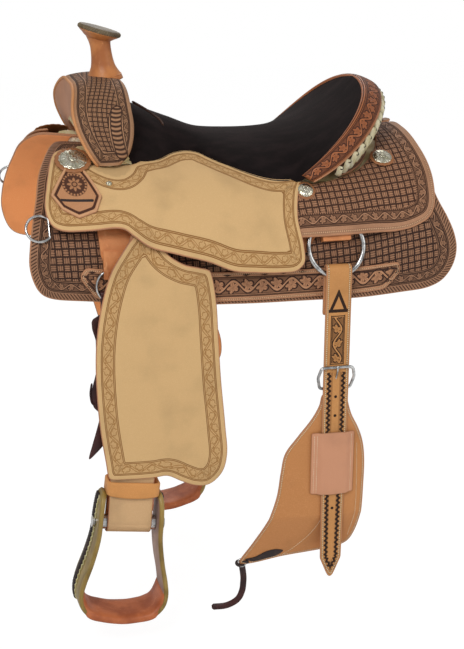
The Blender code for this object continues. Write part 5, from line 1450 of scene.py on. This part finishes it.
def horn():
    lean = Matrix.Rotation(HORN_LEAN, 3, "Y")
    tilt = Matrix.Rotation(HORN_CAP_TILT, 3, "Y")
    base = Vector((HORN_X, 0, FORK_TOP))
    tall = HORN_CAP_Z - FORK_TOP
    neck = mm(31.5, -2, 30, 3.5, 27.8, 7.5, 24, 14, 20.6, 22, 18.6, 32, 17.6, 42, 17.2, 52) + [
        (0.0176, tall - 0.022), (0.0192, tall - 0.014), (0.0212, tall - 0.008), (0.0224, tall - 0.004)]
    trim(lathe("horn_neck", base, lean, turned(neck, 0.0025), [HORN_LEATHER]), "strap_leather", "horn_wrap")
    collar = 0.0195 * 1.45
    ridge = circle(base, 48, lambda c, s: lean @ Vector((collar * c, collar * s, 0.0052)))
    trim(tube("horn_collar", ridge, 0.0016, [HORN_LEATHER], True, 8))
    cap_at = base + lean @ Vector((0, 0, tall - 0.0025))
    r = HORN_CAP_R * 0.95
    cup = [(0.0195, -0.0105), (0.0235, -0.0085), (r * 0.8, -0.0045), (r * 0.95, -0.001), (r * 0.985, 0.0012)]
    trim(lathe("horn_cup", cap_at, tilt, turned(cup, 0.002), [HORN_LEATHER], 56))
    top = [(r * 0.97, 0.0008), (r * 1.005, 0.0022), (r * 1.01, 0.0042), (r * 0.99, 0.0062),
           (r * 0.95, 0.0078), (r * 0.88, 0.0086), (r * 0.84, 0.0074), (r * 0.8, 0.0082),
           (r * 0.5, 0.0094), (r * 0.05, 0.0098)]
    trim(lathe("horn_top", cap_at, tilt, turned(top, 0.0016), [CAP_LEATHER], 56), "strap_leather", "horn_cap")
    whip = ((0.985, 0.0006), (1.022, 0.0024), (1.02, 0.0052), (0.965, 0.0078))
    edge = []
    for a in turns(52):
        line = [cap_at + tilt @ Vector((r * q * cos(a + 0.05 * j), r * q * sin(a + 0.05 * j), h))
                for j, (q, h) in enumerate(whip)]
        edge.append(tube("whip", line, 0.0011, [CAP_LEATHER], sides=5))
    trim(join("horn_edge_lace", edge))


RIM_END = radians(86)
BINDING_SIDES = 32
BINDING_START = 29
BINDING_UNDER = 19
BINDING_SPAN = 0.046
CANTLE_STEPS = 12


def rim(edge, phi):
    """Point of a rim line at angle phi from the middle of the cantle."""
    x0, xr, half, z0, zr, p, q = edge
    c = max(cos(phi), 0.0)
    return Vector((x0 + (xr - x0) * c ** p, half * sin(phi), z0 + (zr - z0) * c ** q))


def rim_frame(phi):
    """Inner and outer edge of the binding, and the way up between them."""
    a, b = rim(RIM_IN, phi), rim(RIM_OUT, phi)
    step = 0.02
    along = (rim(RIM_IN, min(phi + step, 1.55)) - rim(RIM_IN, max(phi - step, -1.55))).normalized()
    up = along.cross(b - a).normalized()
    return a, b, up if up.z > 0 else -up


def rim_angles(step, end=90):
    """Angle and length at about equal steps along the rim, for angles below end degrees."""
    fine = np.linspace(-RIM_END, RIM_END, 1200)
    run = run_of(np.array([(rim(RIM_IN, a) + rim(RIM_OUT, a))[:] for a in fine]) / 2)
    at = np.linspace(0, run[-1], int(run[-1] / step) + 1)
    spots = [(ramp(t, run, fine), float(t - run[-1] / 2)) for t in at]
    return [spot for spot in spots if abs(spot[0]) < radians(end)]


def binding():
    sides, start = BINDING_SIDES, BINDING_START
    rows, facts, welt = [], [], []
    for phi, run in rim_angles(0.005):
        a, b, up = rim_frame(phi)
        middle, half = (a + b) / 2, (b - a) / 2
        row = [middle + half * boxy(cos(ang), 0.72) + up * (BINDING_T / 2 * (boxy(sin(ang), 0.9) - 1))
               for ang in turns(sides)]
        around = row[start:] + row[:start]
        reach = [0.0]
        for p, q in zip(around, around[1:]):
            reach.append(reach[-1] + (q - p).length)
        scale = BINDING_SPAN / reach[sides - start + sides // 2 + 1]
        facts.append([(run, r * scale) for r in reach[-start:] + reach[:-start]])
        rows.append(row)
        welt.append(b + (b - a).normalized() * 0.0006 - up * BINDING_T * 0.75)
    body = loft("binding_roll", rows, [BINDING, BARE], edge=lambda i, k: facts[i % len(rows)][k % sides],
                slot=lambda i, k: int(BINDING_UNDER < k < sides - 2))
    trim(body, "tooled_leather", "cantle_binding")
    trim(tube("binding_welt", welt, 0.0022, [CUT_EDGE], sides=8), "tooled_leather")


def cantle_back_line(phi):
    """From under the binding's outer edge down the back of the cantle to its foot."""
    a, b, up = rim_frame(phi)
    top = a + (b - a) * 0.93 - up * (BINDING_T * 0.8)
    s = 0.146 * boxy(sin(phi), 0.9)
    x = 0.105 + 0.121 * max(cos(phi), 0.0) ** 0.55 + CANTLE_T
    foot = side_point(x, s, back_low(x, abs(s)) + LEATHER_T + 0.0006, 1.0)
    return top, foot, (b - a).normalized()


def cantle():
    rows, facts = [], []
    for phi, run in rim_angles(0.006, 80):
        top, foot, out = cantle_back_line(phi)
        length = (foot - top).length
        shares = [k / CANTLE_STEPS for k in range(CANTLE_STEPS + 1)]
        rows.append([top.lerp(foot, f) - out * (sin(pi * f) * 0.05 * length) for f in shares])
        facts.append([(run, f * length, run, min(f, 1 - f) * length) for f in shares])
    body = sheet("cantle_back", rows, facts, [CANTLE_LEATHER])
    solid = body.modifiers.new("thickness", "SOLIDIFY")
    solid.thickness = 0.003
    solid.offset = 1.0
    trim(body, "tooled_leather", "tree_cantle")
    cantle_lacing()


def cantle_lacing():
    """Pale lace wrapped from the binding's outer edge to a dark strip below it, with a small dark ring of
    painted shade where each wrap goes into the leather.
    """
    fine, pitch = 0.0015, 0.0195
    reach = int(pitch / fine)
    lane = [phi for phi, _ in rim_angles(fine, 81)]

    def spot(phi, down, lift_out):
        top, foot, out = cantle_back_line(phi)
        _, b, up = rim_frame(phi)
        start = b - up * BINDING_T * 0.55 + out * 0.0016
        end = top + (foot - top) * (0.022 / max((foot - top).length, 0.03))
        bulge = 0.0022 * sin(pi * min(down, 1.0))
        return start.lerp(end, min(down, 1.0)) + out * (lift_out + bulge)

    wraps, holes = [], []
    for j in range(0, len(lane) - reach, reach):
        after = lane[min(j + int(reach * 1.15), len(lane) - 1)]
        line = [spot(lane[j] + (after - lane[j]) * k / 8, 1 - k / 8, 0.0032) for k in range(9)]
        wraps.append(tube("wrap", line, 0.0052, [LACE_HIDE], flat=0.34))
        # Each dark ring stands in for the shade in the lace's opening: painted shade.
        ring = circle(spot(after, 0.1, 0.0046), 8, lambda c, s: Vector((0.0022 * c, 0.0012 * s, 0.0022 * s)))
        holes.append(tube("hole_shade", ring, 0.0012, [DARK_LACE], True, 6))
    trim(join("cantle_lace", wraps))
    trim(join("cantle_lace_hole_shades", holes), "latigo_leather")
    strip = [spot(phi, 1.02, 0.0012) for phi in lane[::3]]
    trim(tube("cantle_dark_edge", strip, 0.0034, [STRING], sides=8, flat=0.6), "latigo_leather")


SEAT_X = (-0.196, -0.16, -0.129, -0.098, -0.052, -0.02, 0.02, 0.07, 0.11, 0.15, 0.185, 0.212, 0.236)
SEAT_MID_Z = (0.0995, 0.086, 0.073, 0.061, 0.042, 0.036, 0.034, 0.036, 0.042, 0.055, 0.075, 0.097, 0.1205)
SEAT_EDGE_X = (-0.16, -0.14, -0.111, -0.087, -0.068, -0.051, -0.029, 0.008, 0.04, 0.07)
SEAT_EDGE_S = (0.106, 0.098, 0.077, 0.07, 0.075, 0.09, 0.112, 0.136, 0.147, 0.15)
MID_LEVEL = curve(SEAT_X, SEAT_MID_Z)
EDGE_S = curve(SEAT_EDGE_X, SEAT_EDGE_S)
SEAT_FRONT = -0.189
SEAT_REAR = 0.2395
SEAT_ROWS, SEAT_COLS = 110, 72
STRING_LINE = mm(-166, -20, 94, -156, -40, 89.5, -140, -62, 80, -128, -74, 70, -124, -80, 62.5, each=3)


def seat_edge(x):
    """Half width and level of the seat's edge at x."""
    start = SEAT_EDGE_X[-1]
    if x < start:
        s = EDGE_S(x)
        p = side_point(x, s, jockey_top(x, s) + 0.0022, 1.0)
        return p.y, p.z
    x0, xr, half, z0, zr, p, q = RIM_IN
    y1, z1 = seat_edge(start - 1e-6)
    c = min(max((x - x0) / (xr + 0.004 - x0), 0.0), 1.0) ** (1 / p)
    y, z = (half + 0.002) * sin(acos(c)), z0 + (zr - z0) * c ** q
    f = ramp(x, (start, start + 0.035), (0.0, 1.0))
    f = f * f * (3 - 2 * f)
    return y1 * (1 - f) + y * f, z1 * (1 - f) + (z - 0.005) * f


def seat():
    shares = [i / SEAT_ROWS for i in range(SEAT_ROWS + 1)]
    stations = [SEAT_FRONT + (SEAT_REAR - SEAT_FRONT) * (0.35 * f + 0.65 * sin(f * pi / 2))
                for f in shares]
    rows = []
    for x in stations:
        y, ze = seat_edge(x)
        zc = MID_LEVEL(x)
        power = ramp(x, (0.0, 0.12), (2.4, 2.0))
        toward = 0.024 * max(1 - (x - SEAT_FRONT) / 0.03, 0.0)
        row, under = [], []
        for k in range(SEAT_COLS + 1):
            v = sin(pi / 2 * (2 * k / SEAT_COLS - 1))
            fore = x - toward * abs(v) ** 3
            z = zc + (ze - zc) * abs(v) ** power
            roll = max(abs(v) - 0.955, 0.0) / 0.045
            crown = 0.0016 * (1 - roll) * min(1.0, max(0.0, (abs(v) - 0.5) * 2))
            fold = 0.0008 * noise.noise(Vector((x * 9, v * 3, 2.0)))
            row.append(Vector((fore, v * y, z + crown - 0.0046 * roll ** 2.6 + fold)))
            under.append(Vector((fore, v * y * 0.985, z - 0.005 - 0.0035 * (1 - abs(v) ** 3))))
        rows.append(row + under[::-1])
    pad = trim(loft("seat_suede", rows, [SUEDE]), "black_suede", "seat")
    for tag, side in SIDES:
        edges = [(x,) + seat_edge(x) for x in stations if -0.15 < x < 0.078]
        path = [Vector((x, side * (y + 0.0006), z - 0.004)) for x, y, z in edges]
        trim(tube("seat_piping_" + tag, path, 0.0016, [DARK_LACE], sides=8), "black_suede")
    path = sweep(STRING_LINE, 0.003)
    trim(tube("saddle_string", path, 0.0022, [STRING], sides=8, flat=0.55), "latigo_leather")


def dee(tag, side):
    """Breast-collar dee on the skirt's edge, where a folded tab holds it; the tab is not drawn here."""
    name, r = "breast_dee_" + tag, 0.0215
    middle, _, turn, _ = disc_frame(name, side)
    path = circle(Vector(), 48, lambda c, s: Vector((r * min(c, 0.72), r * s, 0.0)))
    shift = sum(path, Vector()) / len(path)
    ring = [middle + turn @ (p - shift) for p in path]
    trim(tube("dee_wire_" + tag, ring, 0.0022, [STEEL], True, 12), "steel", name)


# Materials of the solids that stay
STAYING = {"tree_bar_near": TREE_HIDE, "tree_bar_off": TREE_HIDE, "tree_fork": TREE_HIDE,
           "ground_seat": TREE_HIDE, "horn_core": STEEL, "front_rigging_near": RIG_HIDE,
           "front_rigging_off": RIG_HIDE, "rear_rigging_near": RIG_HIDE, "rear_rigging_off": RIG_HIDE,
           "stirrup_bolt_near": STEEL, "stirrup_bolt_off": STEEL}

# Camera at the photograph's place
AIM = Vector((0.0133, 0.0, -0.322))
TURN_FROM_SIDE = radians(-13.5)
RISE = radians(17.5)
DISTANCE = 3.0
FOCAL_PX = 1660.0
FRAME_TALL_PX = 649.0
SENSOR = 36.0

# Studio
FLOOR_Z = -0.806
FLOOR_HALF = 6.0
WHITE = (1.0, 1.0, 1.0, 1.0)
FLOOR_GREY = (0.86, 0.86, 0.86, 1.0)
FLOOR_GLOW = 1.1
FLOOR_WHITE = 0.85
WORLD_LEVEL = 0.46
LAMPS = (("key", (-1.6, -2.6, 2.2), 1.4, 60.0), ("fill", (2.4, -2.0, 0.9), 2.0, 18.0),
         ("back", (0.6, 2.6, 1.8), 1.8, 22.0))


def camera():
    a, e = TURN_FROM_SIDE, RISE
    back = Vector((sin(a) * cos(e), -cos(a) * cos(e), sin(e)))
    right = Vector((cos(a), sin(a), 0.0))
    data = bpy.data.cameras.new("camera")
    data.sensor_width = SENSOR
    data.lens = SENSOR * FOCAL_PX / FRAME_TALL_PX
    obj = linked("camera", data)
    turn = Matrix((right, back.cross(right), back)).transposed().to_4x4()
    obj.matrix_world = Matrix.Translation(AIM + back * DISTANCE) @ turn
    bpy.context.scene.camera = obj


def white_mix(tree, plain, white, strength, end):
    """Show white to the camera and through clear things, in some share."""
    rays = node(tree, "LightPath", {}).outputs
    seen = node(tree, "Math", {0: rays["Is Camera Ray"], 1: rays["Is Transmission Ray"]}, operation="MAXIMUM")
    share = node(tree, "Math", {0: seen.outputs[0], 1: strength}, operation="MULTIPLY")
    mix = node(tree, "MixShader", {0: share.outputs[0], 1: plain.outputs[0], 2: white.outputs[0]})
    tree.links.new(mix.outputs[0], tree.nodes[end].inputs[0])


def studio():
    scene = bpy.context.scene
    scene.view_settings.view_transform = "Standard"
    scene.world = bpy.data.worlds.new("studio")
    scene.world.use_nodes = True
    tree = scene.world.node_tree
    soft = tree.nodes["Background"]
    feed(tree, soft.inputs, {0: WHITE, 1: WORLD_LEVEL})
    white_mix(tree, soft, node(tree, "Background", {0: WHITE}), 1.0, "World Output")
    bm = bmesh.new()
    square = ((-1, -1), (1, -1), (1, 1), (-1, 1))
    bm.faces.new([bm.verts.new((FLOOR_HALF * x, FLOOR_HALF * y, FLOOR_Z)) for x, y in square])
    mat = bpy.data.materials.new("floor")
    mat.use_nodes = True
    tree = mat.node_tree
    shader = tree.nodes["Principled BSDF"]
    feed(tree, shader.inputs, {"Base Color": FLOOR_GREY, "Roughness": 0.9, "Specular IOR Level": 0.0})
    white_mix(tree, shader, node(tree, "Emission", {"Strength": FLOOR_GLOW}), FLOOR_WHITE, "Material Output")
    new_object("floor", bm, [mat])
    for name, place, size, watts in LAMPS:
        light = bpy.data.lights.new(name, "AREA")
        light.shape = "DISK"
        light.size = size
        light.energy = watts
        obj = linked(name, light)
        obj.location = place
        obj.rotation_euler = (AIM - Vector(place)).to_track_quat("-Z", "Y").to_euler()


def main():
    camera()
    studio()
    for tag, side in SIDES:
        side_leathers(tag, side)
        hanging(tag, side)
        rings(tag, side)
        for part in ("front", "waist", "rear"):
            concho("concho_{}_{}".format(part, tag), side)
        screw("jockey_screw_" + tag, -0.235, 0.166, side)
        plaque(tag, side)
        dee(tag, side)
    billet("near", -1.0, BILLET_LENGTH)
    billet("off", 1.0, BILLET_SHORT)
    flank()
    latigo()
    fork()
    binding()
    cantle()
    seat()
    for name, mat in STAYING.items():
        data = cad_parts[name].data
        data.materials.clear()
        data.materials.append(mat)


main()
bpy.context.view_layer.update()
